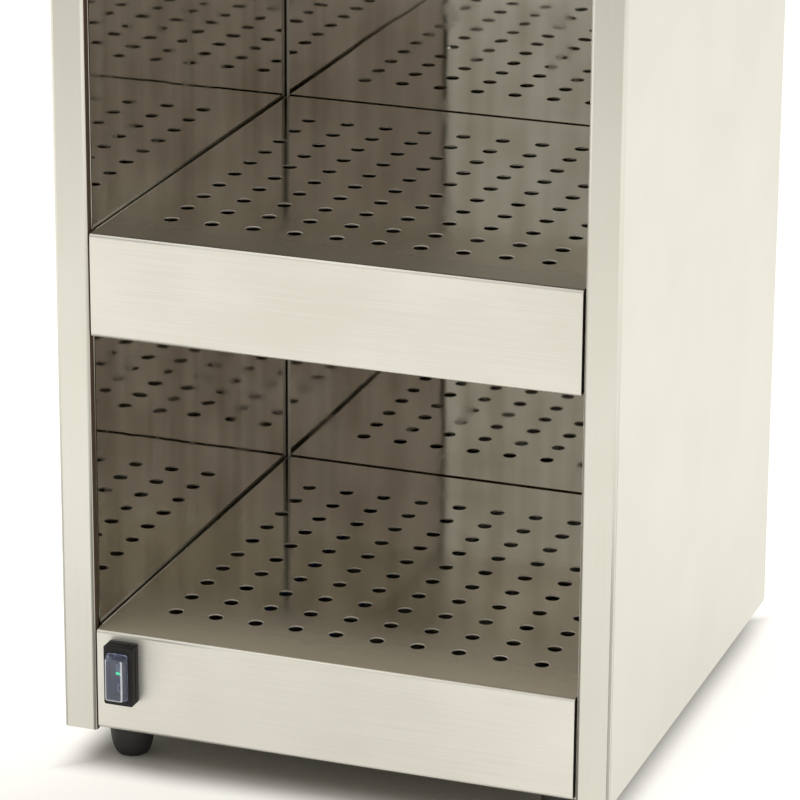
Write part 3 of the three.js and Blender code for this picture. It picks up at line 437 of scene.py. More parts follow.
def run_on(bm, edge, radius, *steps):
    """Runs a sheet on from one edge: straight by each vector, and folded between each pair of directions."""
    edges = [edge]
    for step in steps:
        if isinstance(step, Vector):
            edges = carry(bm, edges, step)
        else:
            heading, turned_to = step
            centre = edges[0].verts[0].co + turned_to * radius
            edges = bend(bm, edges, centre, heading.cross(turned_to), math.pi / 2)


def surface_of(material):
    """The node that gives a material its surface."""
    return next(node for node in material.node_tree.nodes if node.type == "BSDF_PRINCIPLED")


liner_sheet, liner_bend, liner_tab = 0.8 * mm, 1.5 * mm, 12 * mm
corner_bend = 0.5 * mm
cloud_grain = (14 * mm, 14 * mm, 180 * mm)
polished = steel("polished_stainless", "#d6d3cc", "#bcb7ad", cloud_grain, 0.03, 0.012, 0.0004 * mm, 0.2 * mm)
# Wiping has left milky smears a few centimetres wide, which blur what the walls mirror.
smear_size, smear_curl, smear_haze, smear_metallic = 45 * mm, 1.2, 0.1, 0.92
smear_starts, smear_full = 0.52, 0.72
tree = polished.node_tree
place = add(tree, "TexCoord").outputs["Object"]
curls = {"Vector": place, "Scale": 1 / smear_size, "Detail": 4.0, "Distortion": smear_curl}
smear = add(tree, "MapRange", {0: add(tree, "TexNoise", curls), 1: smear_starts, 2: smear_full}, **soft_step)
shader = surface_of(polished)
clear_rough = shader.inputs["Roughness"].links[0].from_socket
rough = add(tree, "Math", {0: smear, 1: smear_haze, 2: clear_rough}, operation="MULTIPLY_ADD")
metal = add(tree, "MapRange", {0: smear, 3: 1.0, 4: smear_metallic})
tree.links.new(rough.outputs[0], shader.inputs["Roughness"])
tree.links.new(metal.outputs[0], shader.inputs["Metallic"])
low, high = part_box("liner_right")
element_low, element_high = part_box("heating_element_lower")
leg_radius, leg_sides = (element_high.z - element_low.z) / 2, 20
leg_rows = (element_low.y + leg_radius, element_high.y - leg_radius)
levels = ("lower", "middle", "top")
leg_heights = [middle_of(f"heating_element_{level}").z for level in levels]
for name, hand in (("liner_right", 1), ("liner_left", -1)):
    bm = bmesh.new()
    start = [bm.verts.new((high.x, low.y + liner_tab, z)) for z in (low.z, high.z)]
    tab, width = -Y * (liner_tab - liner_bend), -X * (high.x - low.x - 2 * liner_bend)
    run_on(bm, bm.edges.new(start), liner_bend, tab, (-Y, -X), width, (-X, Y))
    front = low.y + liner_bend
    flat = ((front, low.z), (high.y, low.z), (high.y, high.z), (front, high.z))
    outline = ring(bm, [(low.x, y, z) for y, z in flat])
    holes = []
    if hand < 0:
        for z in leg_heights:
            for y in leg_rows:
                holes += round_hole(bm, Vector((low.x, y, z)), leg_radius + gap, leg_sides, Y, Z)
    sheet_between(bm, outline, holes)
    bmesh.ops.scale(bm, vec=(hand, 1, 1), verts=bm.verts)
    turned_in = {"wall": liner_sheet, "outside": -X * hand}
    wall = finished(bm, f"{name}_sheet", polished, "polished_steel", name, **turned_in)
    add_finishes(wall, painted_dark_shade)
    # The tab and front bend behind the post are painted dark, as the shade in the gap there.
    for face in wall.data.polygons:
        face.material_index = int(face.center.y < front and abs(face.normal.x) < crest_share)

# The back wall's bends are darker in the corners, with dirt and painted shade, and a narrow strip beside
# each bend is painted pale as a highlight.
highlight_strip = 1.8 * mm
low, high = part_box("liner_back")
bm = bmesh.new()
start = [bm.verts.new((low.x, high.y, z)) for z in (low.z, high.z)]
depth, strip = Y * (high.y - low.y - corner_bend), X * highlight_strip
width = X * (high.x - low.x - 2 * corner_bend - 2 * highlight_strip)
run_on(bm, bm.edges.new(start), corner_bend, -depth, (-Y, X), strip, width, strip, (X, Y), depth)
turned_in = {"wall": liner_sheet, "outside": -Y}
back = finished(bm, "liner_back_sheet", polished, "polished_steel", "liner_back", **turned_in)
add_finishes(back, painted_highlight_edge, joint_dirt_and_shade)
for face in back.data.polygons:
    past_flat = abs(face.center.x) - (high.x - corner_bend)
    face.material_index = 2 if past_flat > 0 else int(past_flat > -highlight_strip)

# Shelf trays: 1 mm stainless sheet, the floor and the front fascia from one blank. The floor is punched with
# ten rows of ten holes and keeps the bright face of the sheet, and the fascia is satin.
tray_sheet, tray_bend, tray_flange = 1 * mm, 2 * mm, 12 * mm
fascia_half, fascia_return = 145 * mm, 12 * mm
hole_radius, hole_roll, hole_sides = 4.25 * mm, 0.25 * mm, 24
shoulder_share, crest_low, crest_high = 0.3, 0.5, 0.85
rear_dirt_and_shade_share, side_dirt_and_shade_share, highlight_share = 0.65, 0.3, 0.5
level_rise, upright_rise = 0.999, 0.1
holes_across, rows_back = 10, 10
pitch_across, pitch_back, first_row = 25 * mm, 24.3 * mm, 41.4 * mm
cross_grain = (scratch_length, scratch_width, scratch_width)
mill_length = 60 * mm
mill_grain = (mill_length, scratch_width, scratch_width)
satin_across = steel("satin_stainless_cross_grain", "#e2e0d9", "#dcdad1", cross_grain, 0.46, 0.03, 0.002 * mm)
mill_finish = steel("mill_finished_stainless", "#aaa59a", "#9a958a", mill_grain, 0.3, 0.03, 0.001 * mm)
# Cups sliding over the front of each floor have ground it dull there, and have left a tan film on the lowest.
liner_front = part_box("liner_right")[0].y
dull_width, dull_roughness, bright_roughness = 80 * mm, 0.3, 0.09
coffee_film, film_metallic = linear("#baa97f"), 0.5


def floor_steel(name, front_metallic):
    """The bright face of rolled sheet, dull towards the front. A film of coffee there scatters the light."""
    material = steel(name, "#cfccc5", "#c6c2ba", mill_grain, bright_roughness, 0.02, 0.0006 * mm)
    tree = material.node_tree
    apart = add(tree, "SeparateXYZ", {0: add(tree, "TexCoord").outputs["Object"]})
    worn = {0: apart.outputs["Y"], 1: liner_front, 2: liner_front + dull_width, 3: 1.0, 4: 0.0}
    wear = add(tree, "MapRange", worn, **soft_step)
    rough = add(tree, "MapRange", {0: wear, 3: bright_roughness, 4: dull_roughness})
    metal = add(tree, "MapRange", {0: wear, 3: 1.0, 4: front_metallic})
    film = add(tree, "Math", {0: metal, 1: -1.0, 2: 1.0}, operation="MULTIPLY_ADD")
    shader = surface_of(material)
    clean = shader.inputs["Base Color"].links[0].from_socket
    tint = add(tree, "MixRGB", {0: film, 1: clean, 2: coffee_film})
    for source, name in ((rough, "Roughness"), (metal, "Metallic"), (tint, "Base Color")):
        tree.links.new(source.outputs[0], shader.inputs[name])
    return material


clean_floor = floor_steel("bright_rolled_stainless", 1.0)
used_floor = floor_steel("used_rolled_stainless", film_metallic)
for name, floor_finish in zip(levels, (used_floor, clean_floor, clean_floor)):
    low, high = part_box(f"shelf_tray_{name}")
    half, side, front, back = high.x, high.x - tray_bend, low.y + tray_bend, high.y - tray_bend
    bm = bmesh.new()
    corners = [(-fascia_half, front), (fascia_half, front), (fascia_half, liner_front), (side, liner_front)]
    corners += [(side, back), (-side, back), (-side, liner_front), (-fascia_half, liner_front)]
    outline = ring(bm, [(x, y, high.z) for x, y in corners])
    holes = []
    for row in range(rows_back):
        for column in range(holes_across):
            x = (column - (holes_across - 1) / 2) * pitch_across
            centre = Vector((x, low.y + first_row + row * pitch_back, high.z))
            rolls = []
            for depth, width in ((0, 1), (shoulder_share, shoulder_share), (1, 0)):
                radius = hole_radius + hole_roll * width
                rolls.append(round_hole(bm, centre - Z * hole_roll * depth, radius, hole_sides, X, Y))
            for one, other in zip(rolls, rolls[1:]):
                shade_round(bmesh.ops.bridge_loops(bm, edges=one + other)["faces"])
            holes += rolls[0]
    sheet_between(bm, outline, holes)
    for edge, heading in ((outline[3], X), (outline[5], -X), (outline[4], Y)):
        run_on(bm, edge, tray_bend, (heading, -Z), -Z * (tray_flange - tray_bend))
    drop, tuck = -Z * (high.z - low.z - 2 * tray_bend), Y * (fascia_return - tray_bend)
    run_on(bm, outline[0], tray_bend, (-Y, -Z), drop, (-Z, Y), tuck)
    tray = f"shelf_tray_{name}"
    piece = finished(bm, f"{tray}_punched", floor_finish, "satin_steel", tray, wall=tray_sheet, outside=Z)
    add_finishes(piece, satin_across, joint_dirt_and_shade, painted_highlight_edge, painted_dark_shade)
    for face in piece.data.polygons:
        x, y, z = face.center
        rise, off_side = face.normal.z, half - abs(x)
        if y < front:
            # The crest of the front fold is painted pale as a highlight.
            face.material_index = 3 if crest_low < rise < crest_high else int(rise < crest_high)
        # The side and rear bends are darker, with dirt and painted shade.
        elif off_side < tray_bend * side_dirt_and_shade_share or y > high.y - tray_bend * rear_dirt_and_shade_share:
            face.material_index = 2
        # A strip of each side bend and the rims of the holes are painted pale as highlights.
        elif off_side < tray_bend * highlight_share or (z > high.z - hole_roll and rise < level_rise):
            face.material_index = 3
        # The walls of the holes are painted dark brown, as the shade inside them.
        elif z > high.z - tray_sheet and abs(rise) < upright_rise:
            face.material_index = 4

# Closing sheets under the two raised shelves: folded pans of the same bright sheet, spot-welded between the
# trays' flanges, so that each element works in a closed box.
for name in ("middle", "top"):
    low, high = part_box(f"shelf_cover_{name}")
    bm = bmesh.new()
    left, right, back = low.x + tray_bend, high.x - tray_bend, high.y - tray_bend
    flat = ((left, low.y), (right, low.y), (right, back), (left, back))
    outline = ring(bm, [(x, y, low.z) for x, y in flat])
    sheet_between(bm, outline)
    for edge, heading in ((outline[1], X), (outline[2], Y), (outline[3], -X)):
        run_on(bm, edge, tray_bend, (heading, Z), Z * (tray_flange - tray_bend))
    pan = f"shelf_cover_{name}"
    finished(bm, f"{pan}_sheet", mill_finish, "polished_steel", pan, wall=tray_sheet, outside=-Z)


# Base plate: a 1 mm satin steel trough with its edges turned up, screwed to the feet. Warm air is drawn in
# through its eight slots.
base_bend, plate_sheet = 1.5 * mm, 1 * mm
vent_length, vent_width, vent_pitch, vent_spread = 36 * mm, 4 * mm, 9 * mm, 180 * mm
vent_rows, vent_sides = 4, 24
foot_names = ("front_left", "front_right", "rear_left", "rear_right")


def vents(bm, middle, across, up):
    """The edges of two columns of round-ended slots about a middle."""
    edges = []
    for side in (-0.5, 0.5):
        for row in range(vent_rows):
            centre = middle + across * side * vent_spread + up * (row - (vent_rows - 1) / 2) * vent_pitch
            edges += round_edge(bm, centre, across, up, vent_length, vent_width, vent_width / 2, vent_sides)
    return edges


low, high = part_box("base_plate")
half, rear = high.x - base_bend, high.y - base_bend
rear_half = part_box("side_panel_right")[1].x - rear_flange - gap
bm = bmesh.new()
corners = [(-half, low.y), (half, low.y), (half, rear), (rear_half, rear), (-rear_half, rear), (-half, rear)]
outline = ring(bm, [(x, y, low.z) for x, y in corners])
element_row = (leg_rows[0] + leg_rows[1]) / 2
holes = vents(bm, Vector((0, element_row, low.z)), X, Y)
for node in [f"foot_{name}" for name in foot_names] + ["earth_stud"]:
    place = middle_of(node)
    place.z = low.z
    holes += screw_hole(bm, place, X, Y)
sheet_between(bm, outline, holes)
base_rise = high.z - low.z - base_bend
for edge, heading in ((outline[1], X), (outline[3], Y), (outline[5], -X)):
    run_on(bm, edge, base_bend, (heading, Z), Z * base_rise)
finished(bm, "base_plate_sheet", satin_across, "satin_steel", "base_plate", wall=plate_sheet, outside=-Z)

# Back cover: a flat satin sheet whose top edge is folded forward over the back wall of the liner. It has
# slots for cooling air, the hole for the cable gland and six screw holes.
side_low, side_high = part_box("side_panel_right")
low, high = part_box("back_cover")
cover_inset, cover_lip, cover_vent_rise = 1.5 * mm, 5 * mm, 120 * mm
half, shoulder = side_high.x - cover_inset, high.z - outer_bend
crest_half = side_low.x - wider_post - gap
bm = bmesh.new()
corners = [(-half, low.z), (half, low.z), (half, shoulder), (crest_half, shoulder), (-crest_half, shoulder)]
outline = ring(bm, [(x, high.y, z) for x, z in corners + [(-half, shoulder)]])
holes = vents(bm, Vector((0, high.y, low.z + cover_vent_rise)), X, Z)
gland = middle_of("cable_gland_body")
gland_thread, gland_sides = 8 * mm, 32
holes += round_hole(bm, Vector((gland.x, high.y, gland.z)), gland_thread + gap, gland_sides, X, Z)
for place in cover_screws:
    holes += screw_hole(bm, Vector((place.x, high.y, place.z)), X, Z)
sheet_between(bm, outline, holes)
depth = -Y * (high.y - low.y - 2 * outer_bend)
run_on(bm, outline[3], outer_bend, (Z, -Y), depth, (-Y, -Z), -Z * (cover_lip - outer_bend))
finished(bm, "back_cover_sheet", satin_upright, "satin_steel", "back_cover", wall=plate_sheet, outside=Y)


# Screws: zinc-plated steel, pan head with a cross recess, and a rolled thread.
def lathe(bm, profile, centre, up, sides):
    """Turns a profile of radius and height pairs about an axis."""
    across = up.orthogonal().normalized()
    corners = [bm.verts.new(centre + across * radius + up * height) for radius, height in profile]
    spun = corners + [bm.edges.new(pair) for pair in zip(corners, corners[1:])]
    bmesh.ops.spin(bm, geom=spun, cent=centre, axis=up, angle=math.tau, steps=sides, use_merge=True)
    weld(bm)


def close(bm, edges):
    """Puts an end on a run of free edges."""
    bmesh.ops.edgeloop_fill(bm, edges=edges)


head_radius, head_height, head_sides = 3.8 * mm, 2.4 * mm, 24
turn_pitch, turn_depth, point_share, first_turn_share = 0.9 * mm, 0.3 * mm, 0.45, 0.8
recess_arm, recess_half, recess_depth = 1.9 * mm, 0.4 * mm, 1.3 * mm
crown_rises = [math.radians(angle) for angle in (0, 30, 60, 80)]


def screw(centre, up, length):
    """A screw whose head's underside lies at the centre, with its head up and its point down."""
    shaft = [(0, -length), (screw_radius * point_share, -length)]
    for turn_number in range(int((length - screw_radius) / turn_pitch)):
        crest = -length + screw_radius * first_turn_share + turn_number * turn_pitch
        shaft += [(screw_radius - turn_depth, crest), (screw_radius, crest + turn_pitch / 2)]
    crown = [(screw_radius, 0), (head_radius, 0)]
    for rise in crown_rises:
        radius = head_radius - head_height / 2 + head_height / 2 * math.cos(rise)
        crown.append((radius, head_height / 2 * (1 + math.sin(rise))))
    bm = bmesh.new()
    lathe(bm, shaft + crown, centre, up, head_sides)
    top = [edge for edge in bm.edges if edge.is_boundary]
    height = (top[0].verts[0].co - centre).dot(up)
    along = up.orthogonal().normalized()
    aside = up.cross(along)
    cross = []
    for quarter in range(4):
        wheel = Matrix.Rotation(quarter * math.pi / 2, 2)
        for spot in ((recess_arm, -recess_half), (recess_arm, recess_half), (recess_half, recess_half)):
            a, b = wheel @ Vector(spot)
            cross.append(centre + along * a + aside * b + up * height)
    rim = ring(bm, cross)
    sheet_between(bm, top, rim)
    close(bm, carry(bm, rim, -up * recess_depth))
    return bm


def upright_screw(node, material, slot):
    """A screw or stud that stands on its head, in the box of its solid."""
    low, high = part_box(node)
    seat = middle_of(node)
    seat.z = low.z + head_height
    finished(screw(seat, -Z, high.z - seat.z), f"{node}_turned", material, slot, node)


zinc = plain("zinc_plated_steel", "#c8c9c6", "#b5b7b6", 0.38, 0.4 * mm, 0.01 * mm, Metallic=1.0)
cover_screw_length = 9 * mm
for number, place in enumerate(cover_screws, 1):
    seat = Vector((place.x, high.y + gap, place.z))
    node = f"cover_screw_{number}"
    finished(screw(seat, Y, cover_screw_length), f"{node}_turned", zinc, "zinc_steel", node)

# Feet: moulded black rubber, rounded towards the ground, with a well that takes the screw's head. A screw in
# each cuts its own thread in the base plate.
foot_top_radius, foot_flat_radius, foot_edge = 13.3 * mm, 7.8 * mm, 0.5 * mm
foot_recess_radius, foot_recess_depth = 5 * mm, 9 * mm
foot_steps, foot_sides = 10, 48
rubber = plain("moulded_black_rubber", "#1c1b1a", "#262523", 0.62, 0.6 * mm, 0.02 * mm)
for name in foot_names:
    low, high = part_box(f"foot_{name}")
    centre = Vector(((low.x + high.x) / 2, (low.y + high.y) / 2, 0))
    bore = screw_radius + gap
    bulge = []
    for step in range(foot_steps + 1):
        rise = step / foot_steps * math.pi / 2
        radius = foot_flat_radius + (foot_top_radius - foot_flat_radius) * math.sin(rise)
        bulge.append((radius, high.z * (1 - math.cos(rise))))
    well = [(bore, foot_recess_depth), (foot_recess_radius, foot_recess_depth), (foot_recess_radius, 0)]
    bm = bmesh.new()
    lathe(bm, well + bulge + [(bore, high.z), (bore, foot_recess_depth)], centre, Z, foot_sides)
    ease(bm, foot_edge)
    finished(bm, f"foot_{name}_moulding", rubber, "foot_rubber", f"foot_{name}")
    upright_screw(f"foot_screw_{name}", zinc, "zinc_steel")


# Switch: a black rubber surround stands proud of the fascia and clamps the rim of the switch body, and a
# clear soft cap is held in it as a splash guard. The surround has a groove round its side.
def loft(bm, rings):
    """Joins each ring of corners to the next one, corner by corner."""
    for one, other in zip(rings, rings[1:]):
        for a, b, c, d in zip(one, one[1:] + one[:1], other[1:] + other[:1], other):
            bm.faces.new((a, b, c, d))


low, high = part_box("switch_guard")
face_y = high.y + gap
middle = middle_of("switch_guard")
middle.y = face_y
flange_low, flange_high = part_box("switch_body")
flange_width, flange_height = flange_high.x - flange_low.x, flange_high.z - flange_low.z
guard_width, guard_height, guard_proud = high.x - low.x, high.z - low.z, face_y - low.y
guard_corner, guard_edge, corner_sides = 1.2 * mm, 0.8 * mm, 24
guard_grip, guard_end_grip, flange_sheet = 1.6 * mm, 2 * mm, 2 * mm
groove_depth, groove_width, groove_rise = 0.6 * mm, 1 * mm, 3.8 * mm


def stack(bm, *sizes):
    """Rings of corners about the switch's middle, each with its width, its height and how proud it stands."""
    shape = (guard_corner, corner_sides)
    return [round_corners(bm, middle - Y * proud, X, Z, wide, tall, *shape) for wide, tall, proud in sizes]


bm = bmesh.new()
waist_width, waist_height = guard_width - 2 * groove_depth, guard_height - 2 * groove_depth
window_width, window_height = flange_width - 2 * guard_grip, flange_height - 2 * guard_end_grip
slack_width, slack_height = flange_width + 2 * gap, flange_height + 2 * gap
rounding, recess_end, groove_end = 0.6 * guard_edge, flange_sheet + 2 * gap, groove_rise + groove_width
rings = stack(
    bm,
    (guard_width, guard_height, gap),
    (guard_width, guard_height, groove_rise),
    (waist_width, waist_height, groove_rise),
    (waist_width, waist_height, groove_end),
    (guard_width, guard_height, groove_end),
    (guard_width, guard_height, guard_proud - guard_edge),
    (guard_width - rounding, guard_height - rounding, guard_proud - rounding / 2),
    (guard_width - 2 * guard_edge, guard_height - 2 * guard_edge, guard_proud),
    (window_width, window_height, guard_proud),
    (window_width, window_height, recess_end),
    (slack_width, slack_height, recess_end),
    (slack_width, slack_height, gap),
)
loft(bm, rings + rings[:1])
dull_skin = {"Specular IOR Level": 0.3}
guard_rubber = plain("black_rubber_surround", "#131212", "#1b1a19", 0.55, 0.5 * mm, 0.015 * mm, **dull_skin)
finished(bm, "switch_surround", guard_rubber, "guard_rubber", "switch_guard")

# The cap: a thin clear shell, bluish in the light of the room. Its outer edges are painted whiter than the
# rest, as a highlight.
low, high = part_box("splash_cap")
cap_seat, cap_proud = face_y - high.y, face_y - low.y
cap_width, cap_height = high.x - low.x, high.z - low.z
cap_taper, cap_end_taper = 1.25 * mm, 1.5 * mm
cap_wall, cap_edge = 0.9 * mm, 0.7 * mm
edge_start, edge_turn, highlight_inset, highlight_slope = 0.3 * cap_edge, 0.4 * cap_edge, 0.9 * cap_wall, 0.98
smudge_size, smudge_haze = 3 * mm, 0.06
face_width, face_height = cap_width - 2 * cap_taper, cap_height - 2 * cap_end_taper
bm = bmesh.new()
rings = stack(
    bm,
    (cap_width - 2 * cap_wall, cap_height - 2 * cap_wall, cap_seat),
    (cap_width, cap_height, cap_seat),
    (face_width + edge_start, face_height + edge_start, cap_proud - cap_edge),
    (face_width - edge_turn, face_height - edge_turn, cap_proud - edge_start),
    (face_width - 2 * cap_edge, face_height - 2 * cap_edge, cap_proud),
    (face_width - 2 * cap_wall, face_height - 2 * cap_wall, cap_proud - cap_wall),
)
loft(bm, rings[:5])
loft(bm, [rings[0], rings[5]])
bm.faces.new(rings[4])
bm.faces.new(rings[5])
clear, tree, place = new_material("clear_soft_pvc")
smudge = add(tree, "TexNoise", {"Vector": place, "Scale": 1 / smudge_size, "Detail": 3.0})
haze = add(tree, "MapRange", {0: smudge, 1: drift_low, 2: drift_high, 3: 0.0, 4: smudge_haze})
shell = {"Base Color": linear("#b9c2dc"), "Roughness": haze, "IOR": 1.45, "Transmission Weight": 0.9}
add(tree, "OutputMaterial", {"Surface": add(tree, "BsdfPrincipled", shell)})
cap = finished(bm, "splash_cap_moulding", clear, "clear_cap", "splash_cap")
milky = {"Transmission Weight": 0.3}
add_finishes(cap, plain("painted_highlight_pvc_edge", "#f4f6fb", "#e6eaf4", 0.3, 0.3 * mm, 0.01 * mm, **milky))
# The faces of the outer rim take the whiter painted highlight.
for face in cap.data.polygons:
    x, y, z = face.center - middle
    on_rim = -cap_proud < y < cap_edge - cap_proud and z < face_height / 2 - cap_edge
    inside = abs(x) < face_width / 2 - highlight_inset and abs(z) < face_height / 2 - highlight_inset
    face.material_index = int(on_rim and not inside and abs(face.normal.y) < highlight_slope)

# The rocker: black plastic with two shallow slopes, white moulded marks and a green lamp under its upper
# half. It turns on two short pins in the switch body. The body itself and its brass spades keep their
# solids.
joint = frame["record"]["behaviour"]["joints"][0]
pivot = Vector(joint["pos_m"])
rest_tilt = math.radians(-sum(joint["range_deg"]) / 2)
rocker_width, rocker_half, rocker_edge = 9 * mm, 11.4 * mm, 0.35 * mm
rocker_rise, rocker_hollow, slope_steps = 11 * mm, 1 * mm, 8
rocker_skirt, rocker_boss = 4 * mm, 2.6 * mm
pin_radius, pin_length, pin_sides = 1.3 * mm, 1 * mm, 20
mark_height, mark_line, mark_proud, mark_sides = 5 * mm, 0.5 * mm, 0.12 * mm, 24
mark_offset, bar_width, circle_width = 6.6 * mm, 1.6 * mm, 2.6 * mm
lens_offset, lens_width, lens_height = 2.6 * mm, 3 * mm, 1.8 * mm
lens_corner, lens_sides = 0.6 * mm, 16
turned_by = Matrix.Rotation(rest_tilt, 3, "X")


def raise_faces(bm, faces, by):
    """Draws faces out of their sheet, with walls all round them."""
    raised = bmesh.ops.extrude_face_region(bm, geom=faces)["geom"]
    bmesh.ops.translate(bm, verts=corners_in(raised), vec=by)


def on_rocker(height):
    """The point of the rocker's face at a height above its middle, and the direction up its slope there."""
    share = height / rocker_half
    place = Vector((0, rocker_hollow * (1 - share**2) - rocker_rise, height))
    return pivot + place, Vector((0, -2 * rocker_hollow * share / rocker_half, 1)).normalized()


def tilted(bm, *terms):
    """Turns a piece of the rocker to its place at rest, and finishes it."""
    bmesh.ops.rotate(bm, verts=bm.verts, cent=pivot, matrix=turned_by)
    finished(bm, *terms, body="rocker")


bm = bmesh.new()
outline = []
for step in range(slope_steps + 1):
    share = 2 * step / slope_steps - 1
    outline.append((rocker_hollow * (1 - share**2) - rocker_rise, share * rocker_half))
skirt_y = 2 * rocker_skirt - rocker_rise
outline += [(skirt_y, rocker_half), (-rocker_skirt / 2, rocker_boss), (rocker_boss, rocker_boss)]
outline += [(rocker_boss, -rocker_boss), (-rocker_skirt / 2, -rocker_boss), (skirt_y, -rocker_half)]
edges = ring(bm, [pivot + Vector((-rocker_width / 2, y, z)) for y, z in outline])
sheet_between(bm, edges)
sheet_between(bm, carry(bm, edges, X * rocker_width))
ease(bm, rocker_edge)
for hand in (-1, 1):
    edges = round_hole(bm, pivot + X * hand * rocker_width / 2, pin_radius, pin_sides, Y, Z)
    close(bm, carry(bm, edges, X * hand * pin_length))
black = plain("black_nylon", "#1b1b1d", "#242426", 0.32, 0.4 * mm, 0.01 * mm)
tilted(bm, "rocker_moulding", black, "black_plastic", "switch_rocker")

bm = bmesh.new()
for offset, width in ((mark_offset, bar_width), (-mark_offset, circle_width)):
    place, up = on_rocker(offset)
    out = up.cross(X)
    edges = []
    for inset in (0, mark_line):
        size = (width - 2 * inset, mark_height - 2 * inset)
        edges += round_edge(bm, place - out * mark_proud, X, up, *size, size[0] / 2, mark_sides)
    raise_faces(bm, bmesh.ops.bridge_loops(bm, edges=edges)["faces"], out * 2 * mark_proud)
white = plain("white_marking_paint", "#e9ecec", "#d9dddd", 0.45, 0.4 * mm, 0.005 * mm)
tilted(bm, "rocker_marks", white, "cream_plastic")

bm = bmesh.new()
place, up = on_rocker(lens_offset)
out = up.cross(X)
lens = round_edge(bm, place - out * mark_proud, X, up, lens_width, lens_height, lens_corner, lens_sides)
close(bm, lens)
close(bm, carry(bm, lens, out * 2 * mark_proud))
glowing = {"Emission Color": linear("#35c27a"), "Emission Strength": 3.0}
green_lens = plain("green_lamp_lens", "#2fae6b", "#26a061", 0.25, 0.5 * mm, 0.005 * mm, **glowing)
tilted(bm, "rocker_lamp", green_lens, "clear_cap")


# Heating elements: steel tubes bent into four legs under each floor, with a thin cold pin at each end. Heat
# has turned the sheath a dull straw grey.
def tube(bm, corners, radius, bend_radius, sides):
    """A bar or wire through the corners, bent round each of them and closed at both ends."""
    points = [Vector(corner) for corner in corners]
    headings = [(end - start).normalized() for start, end in zip(points, points[1:])]
    across = headings[0].orthogonal().normalized()
    aside = headings[0].cross(across)
    edges = round_hole(bm, points[0], radius, sides, across, aside)
    close(bm, edges)
    place = points[0]
    for corner, heading, following in zip(points[1:], headings, headings[1:]):
        angle = heading.angle(following)
        setback = bend_radius * math.tan(angle / 2)
        start = corner - heading * setback
        edges = carry(bm, edges, start - place)
        axis = heading.cross(following).normalized()
        centre = start + axis.cross(heading) * bend_radius
        edges = bend(bm, edges, centre, axis, angle)
        place = corner + following * setback
    edges = carry(bm, edges, points[-1] - place)
    close(bm, edges)


leg_count, leg_pitch = 4, 50 * mm
pin_reach, cold_pin_radius, cold_pin_sides = 9 * mm, 1.6 * mm, 16
sheath = plain("heat_stained_steel", "#77726a", "#8a7d63", 0.45, 0.5 * mm, 0.01 * mm, Metallic=1.0)
for name in levels:
    low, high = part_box(f"heating_element_{name}")
    z = (low.z + high.z) / 2
    rows = [leg_rows[0] + leg * leg_pitch for leg in range(leg_count)]
    start, reach = low.x + pin_reach, high.x - leg_radius
    turnings = [(start, rows[0], z), (reach, rows[0], z), (reach, rows[1], z), (-reach, rows[1], z)]
    turnings += [(-reach, rows[2], z), (reach, rows[2], z), (reach, rows[3], z), (start, rows[3], z)]
    bm = bmesh.new()
    tube(bm, turnings, leg_radius, leg_pitch / 2, leg_sides)
    for y in (rows[0], rows[3]):
        tube(bm, [(low.x, y, z), (start + pin_reach, y, z)], cold_pin_radius, 0, cold_pin_sides)
    finished(bm, f"heating_element_{name}_tube", sheath, "element_steel", f"heating_element_{name}")

# Thermostat: a snap disc in a moulded body with a metal cap, which presses against the lower floor, and two
# blades for its wires.
low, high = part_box("thermostat")
centre = middle_of("thermostat")
seat = Vector((centre.x, centre.y, high.z))
disc_radius, disc_step, turned_sides = 8 * mm, 1 * mm, 40
disc_height, disc_cap = 9 * mm, 3 * mm
body_edge, cap_round, blade_edge = 0.4 * mm, 0.6 * mm, 0.15 * mm
blade_sheet, blade_width, blade_pitch = 0.8 * mm, 4.8 * mm, 8 * mm
cream = plain("cream_phenolic", "#d9d2bd", "#cfc7af", 0.5, 0.5 * mm, 0.02 * mm)
body_radius = disc_radius - disc_step
for name, radius, foot, head, edge, *terms in (
    ("body", body_radius, -disc_height, -disc_cap, body_edge, cream, "cream_plastic", "thermostat"),
    ("cap", disc_radius, -disc_cap, 0, cap_round, zinc, "zinc_steel"),
):
    bm = bmesh.new()
    lathe(bm, [(0, foot), (radius, foot), (radius, head), (0, head)], seat, Z, turned_sides)
    ease(bm, edge)
    finished(bm, f"thermostat_{name}", *terms)
brass = plain("rolled_brass", "#c9a85a", "#b8964a", 0.33, 0.4 * mm, 0.005 * mm, Metallic=1.0)
half_blade = Vector((blade_sheet, blade_width, 0)) / 2
for number, hand in enumerate((-0.5, 0.5), 1):
    foot = Vector((centre.x + hand * blade_pitch, centre.y, low.z))
    head = foot + Z * (high.z - disc_height - low.z)
    bm = box_of(foot - half_blade, head + half_blade)
    ease(bm, blade_edge)
    finished(bm, f"thermostat_blade_{number}", brass, "brass")

# Cable gland: black nylon, with a threaded body, a domed nut with ribs for the fingers, and a locknut inside.
gland_low, gland_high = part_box("cable_gland_body")
back_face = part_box("back_cover")[1].y
seat = Vector((gland.x, back_face, gland.z))
gland_bore, gland_pitch, gland_groove = 4.6 * mm, 1.5 * mm, 0.5 * mm
hex_radius, hex_height, hex_bore_sides, nylon_edge = 11 * mm, 4 * mm, 24, 0.35 * mm
bm = bmesh.new()
inside, outside = gland_low.y - back_face, gland_high.y - back_face
threads = []
crest = inside
while crest + gland_pitch < outside:
    threads += [(gland_thread - gland_groove, crest), (gland_thread, crest + gland_pitch / 2)]
    crest += gland_pitch
tube_profile = threads + [(gland_thread, outside), (gland_bore, outside), (gland_bore, inside), threads[0]]
lathe(bm, tube_profile, seat, Y, turned_sides)
finished(bm, "gland_tube", black, "black_plastic", "cable_gland_body")


